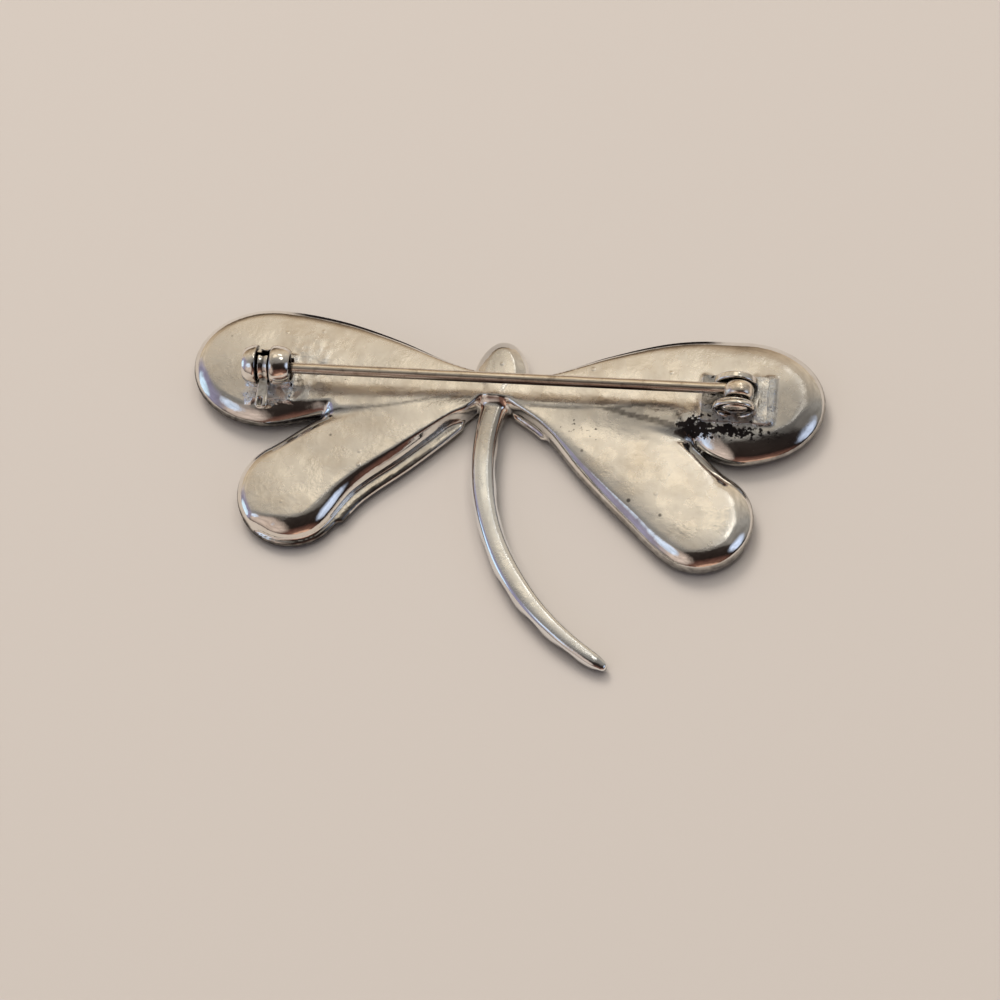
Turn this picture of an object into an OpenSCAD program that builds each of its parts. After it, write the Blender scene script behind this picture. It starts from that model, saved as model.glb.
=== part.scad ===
// Dragonfly brooch, cast in silver-tone metal, lying face down with its pin fastened.
// Millimetres. +Z is up, out of the brooch's back. X runs from wing tip to wing tip and
// +Y towards the head. The origin is on the surface it lies on, under the middle of its box.

/* [Casting] */
// Height of the upper wings' backs above the surface
back_h = 3.4; // [3:0.1:4]
// Step from the upper wings' backs down to the lower wings' backs
wing_step = 0.4; // [0.2:0.1:0.8]
// Height of the widest line round the edge of a wing
wall_h = 1.6; // [1.2:0.1:2]
// Share of a wing's half width that rolls over at its back edge
back_roll = 0.25; // [0.1:0.05:0.4]
// Share of a wing's half width that the front dome takes up
front_roll = 0.45; // [0.3:0.05:0.6]
// How far the front lip stands out past a lower wing's trailing edge
lip_out = 0.45; // [0.2:0.05:0.8]
// Thickness of the front lip
lip_t = 0.8; // [0.4:0.1:1.2]

/* [Head and tail] */
// Half of the head's width
head_half_w = 3.05; // [2.5:0.05:3.5]
// How far the head reaches from its middle to its top
head_reach = 5.1; // [4.5:0.1:5.5]
// Height of the head's back
head_h = 2.9; // [2.5:0.1:2.9]
// Radius of the tail's curve
tail_r = 25.5; // [20:0.5:30]
// Angle that the tail's curve covers
tail_turn = 80; // [65:1:84]
// Height of the tail's back at its root
tail_h = 2.8; // [2.4:0.1:3.2]
// Segments along the tail's front
tail_segments = 8; // [4:1:12]
// Depth of the notches between the tail's segments, as a share of its half width
tail_notch = 0.12; // [0:0.02:0.2]

/* [Pin] */
// Diameter of the pin's stem
stem_d = 1.15; // [0.9:0.05:1.3]
// Height of the pin's axis above the surface
pin_h = 5.5; // [5.4:0.1:6]
// Distance from the hinge to the pin's point
pin_l = 51; // [49:0.5:51]
// Length of the tapered point
point_l = 5.2; // [3:0.1:6]
// Radius of the pin's flattened eye
eye_r = 1.55; // [1.3:0.05:1.6]
// Thickness of the pin's eye
eye_t = 1.7; // [1.2:0.1:1.8]

/* [Pin joint] */
// Radius of the ears' rounded tops
ear_r = 2.3; // [2:0.1:2.5]
// Thickness of each ear
ear_t = 0.8; // [0.6:0.1:1]
// Gap between the two ears
ear_gap = 2.2; // [2:0.05:2.3]
// Radius of the rivet's shank
rivet_r = 0.5; // [0.4:0.05:0.6]
// Radius of the rivet's near head
rivet_head_r = 1.15; // [0.9:0.05:1.2]
// Thickness of the joint's base plate above the wing
joint_plate_t = 0.35; // [0.2:0.05:0.4]

/* [Catch] */
// Outer radius of the barrel
barrel_r = 2.15; // [2.05:0.05:2.2]
// Length of the barrel
barrel_l = 5; // [4.5:0.1:5.5]
// Radius of the barrel's bore, in which the rotor turns
barrel_bore_r = 1.4; // [1.4:0.05:1.45]
// Width of the groove between the two lobes
groove_w = 1.4; // [1.3:0.05:1.6]
// Running gap between the rotor's tube and the bore
rotor_gap = 0.07; // [0.05:0.01:0.1]
// Radius of the rotor's disc in the groove
disc_r = 1.72; // [1.6:0.02:1.75]
// Width of the rotor's disc
disc_w = 1.1; // [0.9:0.05:1.15]
// Radius of the channel that the stem lies in
channel_r = 0.78; // [0.76:0.01:0.85]
// Width of the slot that lets the stem out
slot_w = 1.34; // [1.3:0.02:1.5]
// Distance from the rotor's axis to the end of its tab
tab_reach = 4.7; // [4:0.1:5.5]
// Width of the tab
tab_w = 1.3; // [1.1:0.05:1.5]
// Thickness of the tab
tab_t = 0.7; // [0.5:0.05:0.8]
// Angle of the tab, from the head's side round over the back
tab_turn = 192; // [185:1:194]
// Angle of the rotor's slot, measured the same way
slot_turn = 55; // [54:1:90]
// Thickness of the catch's base plate above the wing
catch_plate_t = 0.2; // [0.1:0.02:0.24]

/* [Hidden] */
$fn = 48;
eps = 0.01;

// The middle of the body lies off the middle of the whole brooch's box
body_x = -0.74;
body_y = 11.02;

// Where the fittings are, from the middle of the body
hinge_x = 25.2;
hinge_y = -0.85;
ear_x = 24.85;
ear_mid_h = 4.4;
pin_y = -0.5;
catch_x = -23.6;
catch_y = -0.3;
groove_x = -23.85;

// Stations along a wing's spine, from its root to the middle of its round tip
stations = [0, 0.2, 0.45, 0.72, 1];

// One row per wing. Columns: root, middle of the tip, half width at the tip, length of the tip,
// half widths on the head's side at the stations, half widths on the tail's side at the stations
upper_left = [[0, 0], [-24.1, 1.45], 6.9, 8.4, [1.1, 2.3, 4.6, 6.3, 6.9], [1.9, 2.2, 3.9, 5.2, 6.9]];
upper_right = [[0, 0], [25.4, 0], 7.05, 8.6, [1, 1.6, 4.5, 6.6, 7.05], [1.9, 2.5, 2.8, 3.8, 7.05]];
lower_left = [[-1.5, -1.5], [-19.9, -13], 5.8, 5.7, [1.6, 2.9, 4.6, 6.3, 5.8], [0.3, 1.5, 2.7, 3.7, 5.8]];
lower_right = [[1.5, -1.5], [22.2, -13.7], 5.55, 5.3, [1.7, 3.1, 4.9, 6.6, 5.55], [0.5, 0.8, 2.7, 4.3, 5.55]];

// Along which share of each lower wing's trailing edge the front lip shows
lip_left = [0.12, 0.86];
lip_right = [0.1, 0.24];

// Height of the front lip's upper face, and how far the lower wings' fronts stop above the surface
lip_h = 1.35;
front_lift = 0.05;

// Gap round the rivet in the ears
rivet_gap = 0.03;

// One row per section of the tail. Columns: share of its length, half width, share of its height
tail_rows = [
    [0, 1.45, 1],
    [0.15, 1.3, 1],
    [0.35, 1.3, 1],
    [0.6, 1.35, 0.96],
    [0.8, 1.08, 0.85],
    [0.93, 0.88, 0.65],
    [1, 0.45, 0.3]
];

// How finely the wings, the head and the tail are drawn
side_steps = 10;
tip_steps = 15;
wing_points = 2 * (side_steps + 1) + tip_steps - 1;
head_points = 28;
back_layers = 3;
front_layers = 3;
tail_rings = 32;
tail_sides = 12;

// Slope of a smooth curve through the points (xs, ys) at point i, level at its last point
function slope(xs, ys, i) =
    i == 0 ? (ys[1] - ys[0]) / (xs[1] - xs[0])
    : i == len(xs) - 1 ? 0
    : (ys[i + 1] - ys[i - 1]) / (xs[i + 1] - xs[i - 1]);

// Which stretch of xs holds x
function stretch(xs, x, i = 0) = i == len(xs) - 2 || x <= xs[i + 1] ? i : stretch(xs, x, i + 1);

// Value at x of the smooth curve through the points (xs, ys)
function curve(xs, ys, x) =
    let (i = stretch(xs, x))
    let (h = xs[i + 1] - xs[i])
    let (t = (x - xs[i]) / h)
    ys[i] * (1 + 2 * t) * pow(1 - t, 2)
    + ys[i + 1] * t * t * (3 - 2 * t)
    + slope(xs, ys, i) * h * t * pow(1 - t, 2)
    - slope(xs, ys, i + 1) * h * t * t * (1 - t);

function unit(v) = v / norm(v);
function along(wing) = unit(wing[1] - wing[0]);

// Direction square to a wing's spine, on the head's side
function across(wing) =
    let (d = along(wing))
    d[0] > 0 ? [-d[1], d[0]] : [d[1], -d[0]];

// Each point of an outline goes with its foot, the point that it shrinks towards
// Points of one side of a wing: side is 1 towards the head and -1 towards the tail
function wing_side(wing, side, first = 0) = [
    for (k = [first:side_steps])
        let (s = k / side_steps)
        let (foot = wing[0] + s * (wing[1] - wing[0]))
        let (half = curve(stations, side > 0 ? wing[4] : wing[5], s))
        [foot + side * half * across(wing), foot]
];

// Points round the tip of a wing, from its tail side to its head side
function wing_tip(wing) = [
    for (k = [1:tip_steps - 1])
        let (a = 180 * k / tip_steps - 90)
        [wing[1] + wing[3] * cos(a) * along(wing) + wing[2] * sin(a) * across(wing), wing[1]]
];

function backwards(list) = [for (i = [len(list) - 1:-1:0]) list[i]];

// Outline of one wing, from the root along its tail side and back along its head side
function wing_outline(wing) =
    concat(wing_side(wing, -1), wing_tip(wing), backwards(wing_side(wing, 1)));

// Outline of the two upper wings with the bar between them
function upper_outline() = concat(
    wing_outline(upper_right),
    wing_side(upper_left, 1, 1),
    backwards(wing_tip(upper_left)),
    backwards(wing_side(upper_left, -1, 1))
);

// Faces across a flat end, between the pairs of points in each of the rungs
function end_faces(rungs) = [
    for (j = [0:len(rungs) - 2]) [rungs[j][0], rungs[j + 1][0], rungs[j + 1][1], rungs[j][1]]
];

// Rungs across a ring of n points, an even number, from its first and last point on
function plain_rungs(n) = [for (j = [0:n / 2 - 1]) [j, n - 1 - j]];

// Rungs across the two upper wings: over the right wing, then from its root over the left wing
function upper_rungs(n) = [
    plain_rungs(wing_points),
    [for (j = [0:(n - wing_points) / 2]) [wing_points - 1 + j, (n - j) % n]]
];

// Closed sides between rings of n points each, with flat ends under the first and over the last
function ring_faces(rings, n, ends) = concat(
    [for (rungs = ends) for (face = end_faces(rungs)) face],
    [for (r = [0:rings - 2]) for (i = [0:n - 1]) [(r + 1) * n + (i + 1) % n, r * n + (i + 1) % n, r * n + i]],
    [for (r = [0:rings - 2]) for (i = [0:n - 1]) [(r + 1) * n + i, (r + 1) * n + (i + 1) % n, r * n + i]],
    [for (rungs = ends) for (face = end_faces(rungs)) [for (i = backwards(face)) (rings - 1) * n + i]]
);

// A pillow over an outline, whose points run anticlockwise seen from above. From its front at
// low, the side swells as a quarter of an ellipse to the widest line and rolls over as another
// quarter to the flat back at high.
module pillow(outline, ends, low, wide, high, front, back) {
    layers = concat(
        [for (k = [0:front_layers]) let (a = 90 * k / front_layers)
            [1 - front * (1 - sin(a)), wide - (wide - low) * cos(a)]],
        [for (k = [1:back_layers]) let (a = 90 * k / back_layers)
            [1 - back * (1 - cos(a)), wide + (high - wide) * sin(a)]]
    );
    points = [
        for (layer = layers) for (pair = outline)
            let (p = pair[1] + layer[0] * (pair[0] - pair[1]))
            [p[0], p[1], layer[1]]
    ];
    polyhedron(points, ring_faces(len(layers), len(outline), ends));
}

module upper_wings() {
    outline = upper_outline();
    pillow(outline, upper_rungs(len(outline)), 0, wall_h, back_h, front_roll, back_roll);
}

// The lower wings' fronts stop a hair above the surface, inside the upper wings' root
module lower_wing(wing) {
    outline = wing[1][0] > 0 ? wing_outline(wing) : backwards(wing_outline(wing));
    ends = [plain_rungs(wing_points)];
    pillow(outline, ends, front_lift, wall_h, back_h - wing_step, front_roll, back_roll);
}

// The front lip: a thin strip that follows a wing's trailing edge just outside it
module front_lip(wing, from_to) {
    steps = 12;
    edge = [
        for (k = [0:steps])
            let (s = from_to[0] + (from_to[1] - from_to[0]) * k / steps)
            let (foot = wing[0] + s * (wing[1] - wing[0]))
            [foot, curve(stations, wing[5], s)]
    ];
    outer = [for (e = edge) e[0] - (e[1] + lip_out) * across(wing)];
    inner = [for (e = edge) e[0] - e[1] * 0.7 * across(wing)];
    translate([0, 0, lip_h - lip_t])
        linear_extrude(lip_t)
            polygon(concat(outer, backwards(inner)));
}

module head() {
    middle = [0.3, 0.8];
    root_reach = 1.5;
    front_low = 0.4;
    head_roll = 0.4;
    outline = [
        for (k = [0:head_points - 1])
            let (a = 360 * (k + 0.5) / head_points)
            let (reach = sin(a) > 0 ? head_reach : root_reach)
            [middle + [head_half_w * cos(a), reach * sin(a)], middle]
    ];
    pillow(outline, [plain_rungs(head_points)], front_low, wall_h, head_h, front_roll, head_roll);
}

// The tail: a rounded bar swept along an arc, with notches between its front segments. Its
// sections are squarish ovals, and its front rises with its tip.
module tail() {
    start_turn = 165;
    middle = [tail_r - 0.5, -6.9];
    front_low = 0.2;
    tip_lift = 0.3;
    side_power = 0.7;
    rise_power = 0.8;
    notch_power = 3;
    full_h = tail_h - front_low;
    shares = [for (row = tail_rows) row[0]];
    halves = [for (row = tail_rows) row[1]];
    heights = [for (row = tail_rows) row[2]];
    points = [
        for (k = [0:tail_rings])
            let (t = k / tail_rings)
            let (turn = start_turn + tail_turn * t)
            let (half = curve(shares, halves, t))
            let (tall = curve(shares, heights, t))
            let (low = front_low + tip_lift * (1 - tall))
            let (notch = 1 - tail_notch * pow(abs(cos(180 * tail_segments * t)), notch_power))
            for (j = [0:tail_sides - 1])
                let (a = 360 * j / tail_sides)
                let (width = sin(a) < 0.3 ? half * notch : half)
                let (out = width * sign(cos(a)) * pow(abs(cos(a)), side_power))
                let (rise = sign(sin(a)) * pow(abs(sin(a)), rise_power))
                [
                    middle[0] + (tail_r - out) * cos(turn),
                    middle[1] + (tail_r - out) * sin(turn),
                    low + tall * full_h * (1 + rise) / 2
                ]
    ];
    polyhedron(points, ring_faces(tail_rings + 1, tail_sides, [plain_rungs(tail_sides)]));
}

module along_x() {
    rotate([0, 90, 0]) children();
}

module along_y() {
    rotate([-90, 0, 0]) children();
}

// A round shape about the catch's axis, from x = from to x = to
module catch_round(r, from, to) {
    translate([from, catch_y, pin_h]) along_x() cylinder(r = r, h = to - from);
}

// Half of the barrel's section: a straight wall with softly turned edges
function barrel_section() =
    let (edge_in = 0.45)
    let (edge_out = 0.12)
    [
        [barrel_bore_r, 0],
        [barrel_r - edge_in, 0],
        [barrel_r - edge_out, 0.2],
        [barrel_r, 0.6],
        [barrel_r, barrel_l - 0.6],
        [barrel_r - edge_out, barrel_l - 0.2],
        [barrel_r - edge_in, barrel_l],
        [barrel_bore_r, barrel_l]
    ];

// The soldered half of the catch: two barrel lobes on a base plate, open towards the head
module catch_housing() {
    left = catch_x - barrel_l / 2;
    sunk = 0.6;
    foot_half = 1.3;
    foot_inset = 0.5;
    foot_low = back_h - sunk + 0.2;
    foot_high = pin_h - 0.9;
    plate_inset = 0.3;
    plate_front = 2.9;
    plate_far = 2.3;
    plate_low = back_h - sunk;
    plate_high = back_h + catch_plate_t;
    groove_l = 2 * barrel_r + 4;
    groove_low = plate_high - 0.05;
    difference() {
        union() {
            translate([left, catch_y, pin_h]) along_x() rotate_extrude() polygon(barrel_section());
            translate([left + foot_inset, catch_y - foot_half, foot_low])
                cube([barrel_l - 2 * foot_inset, 2 * foot_half, foot_high - foot_low]);
            translate([left + plate_inset, catch_y - plate_front, plate_low])
                cube([barrel_l - 2 * plate_inset, plate_front + plate_far, plate_high - plate_low]);
        }
        catch_round(barrel_bore_r, left - 1, left + barrel_l + 1);
        translate([left - 1, catch_y, pin_h - slot_w / 2]) cube([barrel_l + 2, barrel_r + 1, slot_w]);
        translate([groove_x - groove_w / 2, catch_y - groove_l / 2, groove_low])
            cube([groove_w, groove_l, pin_h]);
    }
}

// The soldered half of the pin joint: a base plate with two round-topped ears
module joint_bracket() {
    sunk = 0.6;
    plate_x = [21.4, 28.2];
    plate_y = [-3.3, 2];
    plate_low = back_h - sunk;
    plate_top = back_h + joint_plate_t;
    ear_low = plate_low + 0.1;
    outer = ear_gap / 2 + ear_t;
    translate([plate_x[0], plate_y[0], plate_low])
        cube([plate_x[1] - plate_x[0], plate_y[1] - plate_y[0], plate_top - plate_low]);
    difference() {
        intersection() {
            translate([ear_x, hinge_y - outer, ear_mid_h]) along_y() cylinder(r = ear_r, h = 2 * outer);
            translate([ear_x - ear_r - 1, hinge_y - outer - 1, ear_low])
                cube([2 * ear_r + 2, 2 * outer + 2, 3 * ear_r]);
        }
        translate([ear_x - ear_r - 1, hinge_y - ear_gap / 2, plate_top])
            cube([2 * ear_r + 2, ear_gap, 2 * ear_r]);
        translate([hinge_x, hinge_y - outer - 1, pin_h])
            along_y()
                cylinder(r = rivet_r + rivet_gap, h = 2 * outer + 2);
    }
}

module in_place() {
    translate([body_x, body_y, 0]) children();
}

module casting() {
    color("silver")
        in_place() {
            upper_wings();
            lower_wing(lower_left);
            lower_wing(lower_right);
            front_lip(lower_left, lip_left);
            front_lip(lower_right, lip_right);
            head();
            tail();
            catch_housing();
            joint_bracket();
        }
}

// The rivet: a shank with a low head on each side of the ears
module hinge_rivet() {
    outer = ear_gap / 2 + ear_t + rivet_gap;
    near_t = 0.35;
    far_r = 0.95;
    far_t = 0.25;
    edge = 0.7;
    color("gainsboro")
        in_place()
            translate([hinge_x, hinge_y, pin_h]) {
                translate([0, -outer - eps, 0]) along_y() cylinder(r = rivet_r, h = 2 * outer + 2 * eps);
                translate([0, -outer - near_t, 0])
                    along_y()
                        cylinder(r1 = rivet_head_r * edge, r2 = rivet_head_r, h = near_t);
                translate([0, outer, 0]) along_y() cylinder(r1 = far_r, r2 = far_r * edge, h = far_t);
            }
}

// The pin: a flattened eye on the rivet, a collar that widens towards it, a round stem and a point
module pin_stem() {
    stem_r = stem_d / 2;
    stem_from = hinge_x - pin_l + point_l;
    collar_from = hinge_x - 3;
    collar_to = hinge_x - 0.9;
    collar_r = stem_r + 0.1;
    point_r = 0.08;
    eye_gap = 0.06;
    color("lightgray")
        in_place() {
            difference() {
                union() {
                    translate([hinge_x, hinge_y - eye_t / 2, pin_h]) along_y() cylinder(r = eye_r, h = eye_t);
                    translate([stem_from, pin_y, pin_h])
                        along_x()
                            cylinder(r = stem_r, h = collar_from - stem_from);
                    translate([collar_from, pin_y, pin_h])
                        along_x()
                            cylinder(r1 = stem_r, r2 = collar_r, h = collar_to - collar_from);
                }
                translate([hinge_x, hinge_y - eye_t, pin_h])
                    along_y()
                        cylinder(r = rivet_r + eye_gap, h = 2 * eye_t);
            }
            translate([stem_from, pin_y, pin_h])
                rotate([0, -90, 0])
                    cylinder(r1 = stem_r, r2 = point_r, h = point_l);
        }
}

// The catch's rotor: a slotted tube with a wider disc in the groove, and a finger tab
module catch_rotor() {
    tube_r = barrel_bore_r - rotor_gap;
    tube_half = barrel_l / 2 - 0.25;
    tab_from = 1.1;
    wide_from = barrel_r + 0.25;
    tab_end = tab_reach - tab_w / 2;
    dimple_r = 0.3;
    dimple_x = -0.15;
    color("whitesmoke")
        in_place()
            difference() {
                union() {
                    catch_round(tube_r, catch_x - tube_half, catch_x + tube_half);
                    catch_round(disc_r, groove_x - disc_w / 2, groove_x + disc_w / 2);
                    translate([groove_x, catch_y, pin_h])
                        rotate([tab_turn, 0, 0]) {
                            translate([-disc_w / 2, tab_from, -tab_t / 2])
                                cube([disc_w, tab_end - tab_from, tab_t]);
                            translate([-tab_w / 2, wide_from, -tab_t / 2])
                                cube([tab_w, tab_end - wide_from, tab_t]);
                            translate([0, tab_end, -tab_t / 2])
                                cylinder(r = tab_w / 2, h = tab_t);
                        }
                }
                catch_round(channel_r, catch_x - barrel_l, catch_x + barrel_l);
                translate([catch_x - barrel_l, catch_y, pin_h])
                    rotate([slot_turn, 0, 0])
                        translate([0, 0, -slot_w / 2])
                            cube([2 * barrel_l, barrel_r + 1, slot_w]);
                translate([groove_x, catch_y, pin_h])
                    rotate([tab_turn, 0, 0])
                        for (y = [tab_reach - 1.3, tab_reach - 0.9])
                            translate([dimple_x, y, -tab_t / 2])
                                sphere(dimple_r);
            }
}

casting();
hinge_rivet();
pin_stem();
catch_rotor();
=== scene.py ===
# %% [markdown]
# # A dragonfly brooch, seen from its back
# The brooch is cast in silver-tone metal and lies face down. Its back shows four polished wings,
# a domed head and a curved tail. A riveted pin runs across the wings into a rollover catch.
# The packed CAD model is the frame: it says where every piece goes. This lesson makes a finer
# skin for each piece from formulas, and then the metal, the light and the camera.

import math

import bmesh
import bpy
import numpy as np
from mathutils import Matrix, Vector


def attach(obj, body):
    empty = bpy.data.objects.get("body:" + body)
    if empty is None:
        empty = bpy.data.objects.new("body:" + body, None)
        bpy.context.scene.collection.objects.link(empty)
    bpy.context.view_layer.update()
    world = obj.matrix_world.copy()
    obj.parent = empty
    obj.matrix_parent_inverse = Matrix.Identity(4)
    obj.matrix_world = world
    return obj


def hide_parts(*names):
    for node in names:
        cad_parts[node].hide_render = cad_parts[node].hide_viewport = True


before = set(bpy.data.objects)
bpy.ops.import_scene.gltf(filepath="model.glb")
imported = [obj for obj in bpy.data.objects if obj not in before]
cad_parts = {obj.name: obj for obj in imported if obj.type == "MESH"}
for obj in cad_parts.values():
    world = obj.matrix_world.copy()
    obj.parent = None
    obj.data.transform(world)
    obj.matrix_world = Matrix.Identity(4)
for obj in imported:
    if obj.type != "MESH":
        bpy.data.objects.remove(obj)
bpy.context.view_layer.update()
MM = 0.001

# %% [markdown]
# ## The camera
# The photograph was taken from above and in front, a little to the right, with the camera rolled.
# A camera is three directions and a place. Azimuth and elevation give the direction from the
# brooch back to the camera. Roll then turns the other two directions about it.

# %% Place the camera
AZIMUTH = math.radians(17.5)
ELEVATION = math.radians(63.0)
ROLL = math.radians(12.6)
DISTANCE = 267.6 * MM
AIM = Vector((0.705, -0.692, 0.0)) * MM
SENSOR = 36.0
FOCAL_PIXELS = 2613.0
PHOTO_PIXELS = 1000.0

back = Vector((
    math.sin(AZIMUTH) * math.cos(ELEVATION),
    -math.cos(AZIMUTH) * math.cos(ELEVATION),
    math.sin(ELEVATION),
))
level_right = Vector((math.cos(AZIMUTH), math.sin(AZIMUTH), 0.0))
level_up = back.cross(level_right)
right = math.cos(ROLL) * level_right - math.sin(ROLL) * level_up
up = math.sin(ROLL) * level_right + math.cos(ROLL) * level_up

camera_data = bpy.data.cameras.new("camera")
camera_data.sensor_width = SENSOR
camera_data.lens = SENSOR * FOCAL_PIXELS / PHOTO_PIXELS
camera_data.clip_start = 0.01
camera = bpy.data.objects.new("camera", camera_data)
bpy.context.scene.collection.objects.link(camera)
turn = Matrix((right, up, back)).transposed().to_4x4()
camera.matrix_world = Matrix.Translation(AIM + back * DISTANCE) @ turn
bpy.context.scene.camera = camera
print("lens in mm:", round(camera_data.lens, 1))

# %% [markdown]
# ## From arrays to a mesh
# Every shape below ends as two arrays: the places of its points in millimetres, and the corners
# of its faces. One helper hands them to Blender. Another one joins a grid of points, a function of
# two parameters, into four-sided faces, and can close it round either parameter.

# %% Mesh helpers


def mesh_piece(name, points, faces, body, node, weld=True):
    """A piece from points (n, 3) in mm and faces (m, 4): it rides on a body and stands for a node.
    Welding joins points that share a place, such as a pole's, and turns all faces outwards."""
    mesh = bpy.data.meshes.new(name)
    mesh.vertices.add(len(points))
    mesh.vertices.foreach_set("co", (np.asarray(points) * MM).astype(np.float32).ravel())
    mesh.loops.add(faces.size)
    mesh.loops.foreach_set("vertex_index", faces.astype(np.int32).ravel())
    mesh.polygons.add(len(faces))
    mesh.polygons.foreach_set("loop_start", np.arange(0, faces.size, 4, dtype=np.int32))
    mesh.polygons.foreach_set("use_smooth", np.ones(len(faces), dtype=bool))
    mesh.update(calc_edges=True)
    mesh.validate()
    if weld:
        joined = bmesh.new()
        joined.from_mesh(mesh)
        bmesh.ops.remove_doubles(joined, verts=joined.verts, dist=1e-7)
        bmesh.ops.recalc_face_normals(joined, faces=joined.faces)
        joined.to_mesh(mesh)
        joined.free()
    piece = bpy.data.objects.new(name, mesh)
    bpy.context.scene.collection.objects.link(piece)
    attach(piece, body)
    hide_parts(node)
    print(name, "has", len(mesh.polygons), "faces")
    return piece


def grid_faces(rows, columns, close_columns=True):
    """Four-sided faces between neighbours of a grid of points that is stored row after row."""
    r = np.arange(rows - 1)[:, None]
    c = np.arange(columns if close_columns else columns - 1)[None, :]
    d = (c + 1) % columns
    quads = [r * columns + c, r * columns + d, (r + 1) * columns + d, (r + 1) * columns + c]
    return np.stack(quads, -1).reshape(-1, 4)


print("a grid of 4 by 5 points has", len(grid_faces(4, 5)), "faces when its columns close")

# %% [markdown]
# ## Where the pieces are
# The brooch was drawn from the middle of its body. These sizes are the part's own, in millimetres,
# with X from wing tip to wing tip, Y towards the head and Z up, out of the back.

# %% Sizes shared by the pieces
BODY = np.array([-0.74, 11.02, 0.0])
BACK_H = 3.4
WING_STEP = {"left": 0.05, "right": 0.1}
WALL_H = 1.6
PIN_H = 5.5
HINGE = np.array([25.2, -0.85, PIN_H])
CATCH = np.array([-23.6, -0.3, PIN_H])
GROOVE_X = -23.85
PIN_Y = -0.5
print("from the catch to the hinge in mm:", round(float(HINGE[0] - CATCH[0]), 2))

# %% [markdown]
# ## The casting as a formula of depth
# On the real brooch the wings, the head, the tail and the solder are one piece of metal that flows
# from one form to the next. Five closed shells pushed into each other would show hard creases. So
# this piece is one formula that says for any point in space how far outside the metal it is, in
# millimetres, with a minus inside. Two forms are joined by a minimum that is rounded off near the
# seam, which gives the soft fillets of a casting.

# %% The outline of a wing
STATIONS = np.array([0.0, 0.2, 0.45, 0.72, 1.0])
# Each wing: root and end of its spine, half width and length of its round end, and its half widths
# at the stations along the spine, on the head side and on the tail side.
WINGS = {
    "upper_left": ([0, 0], [-24.1, 1.45], 6.9, 8.4, [1.1, 2.3, 4.6, 6.3, 6.9], [1.9, 2.2, 3.9, 5.2, 6.9]),
    "upper_right": ([0, 0], [25.4, 0], 7.05, 8.6, [1, 1.6, 4.5, 6.6, 7.05], [1.9, 2.45, 2.3, 1.9, 7.05]),
    "lower_left": (
        [-1.5, -1.5], [-19.9, -13], 5.8, 5.7, [1.6, 2.9, 4.6, 6.3, 5.8], [0.3, 1.5, 2.7, 3.7, 5.8],
    ),
    "lower_right": (
        [1.5, -1.5], [22.2, -13.7], 5.55, 5.3, [1.7, 3.1, 4.9, 6.6, 5.55], [0.5, 0.8, 2.7, 4.3, 5.55],
    ),
}
ROOT_REACH = 1.2
INSIDE_CAD = 0.06
print("wings:", ", ".join(WINGS))


def curve(xs, ys, x):
    """Smooth curve through the points (xs, ys): cubics that share slopes, level at the last point.
    Returns its height and its slope at x."""
    xs, ys = np.asarray(xs, float), np.asarray(ys, float)
    slopes = np.zeros(len(xs))
    slopes[0] = (ys[1] - ys[0]) / (xs[1] - xs[0])
    slopes[1:-1] = (ys[2:] - ys[:-2]) / (xs[2:] - xs[:-2])
    i = np.clip(np.searchsorted(xs, x, side="right") - 1, 0, len(xs) - 2)
    h = xs[i + 1] - xs[i]
    t = np.clip((x - xs[i]) / h, 0.0, 1.0)
    a, b, p, q = ys[i], ys[i + 1], slopes[i] * h, slopes[i + 1] * h
    height = a * (1 + 2 * t) * (1 - t) ** 2 + b * t * t * (3 - 2 * t)
    height = height + p * t * (1 - t) ** 2 - q * t * t * (1 - t)
    slope = (6 * (b - a) * t * (1 - t) + p * (1 - t) * (1 - 3 * t) - q * t * (2 - 3 * t)) / h
    return height, slope

# %% How far inside a wing a point lies


def wing_plan(wing, x, y):
    """How far inside a wing's outline (x, y) lies, the wing's half width there, and its place along
    the spine from 0 to 1. Beside the spine the distance is half width minus sideways distance, cut
    by the outline's slope. Past the spine's end the outline is half an ellipse."""
    root, tip, tip_half, tip_length, head_side, tail_side = wing
    spine = np.subtract(tip, root)
    length = np.hypot(*spine)
    along = spine / length
    across = np.array([-along[1], along[0]]) * np.sign(along[0])
    u = (x - root[0]) * along[0] + (y - root[1]) * along[1]
    v = (x - root[0]) * across[0] + (y - root[1]) * across[1]
    share = np.clip(u / length, 0.0, 1.0)
    head_half, head_slope = curve(STATIONS, head_side, share)
    tail_half, tail_slope = curve(STATIONS, tail_side, share)
    half = np.where(v > 0, head_half, tail_half)
    slope = np.where(v > 0, head_slope, tail_slope) / length
    beside = (half - np.abs(v)) / np.sqrt(1 + slope**2)
    past = np.maximum(u - length, 0.0)
    q = np.hypot(past / tip_length, v / tip_half)
    steepness = np.hypot(past / tip_length**2, v / tip_half**2) / np.maximum(q, 1e-6)
    around = (1 - q) / np.maximum(steepness, 1e-3)
    inset = np.where(u > length, around, beside)
    return np.minimum(inset, u + ROOT_REACH) - INSIDE_CAD, half, share, v


deepest = float(wing_plan(WINGS["lower_left"], -19.9, -13.0)[0])
print("depth in the lower left wing's end in mm:", round(deepest, 2))

# %% [markdown]
# ## Sections that roll over
# A wing's section is flat on its back, rolls over a quarter of an ellipse to its widest line, and
# rolls in again under it to the front. Dividing an ellipse's formula by its steepness turns it into
# a distance, which the rounded minimum needs. The rolls reach in by a share of the half width.

# %% Sections and joins
BACK_ROLL = 0.25
FRONT_ROLL = 0.45


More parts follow.
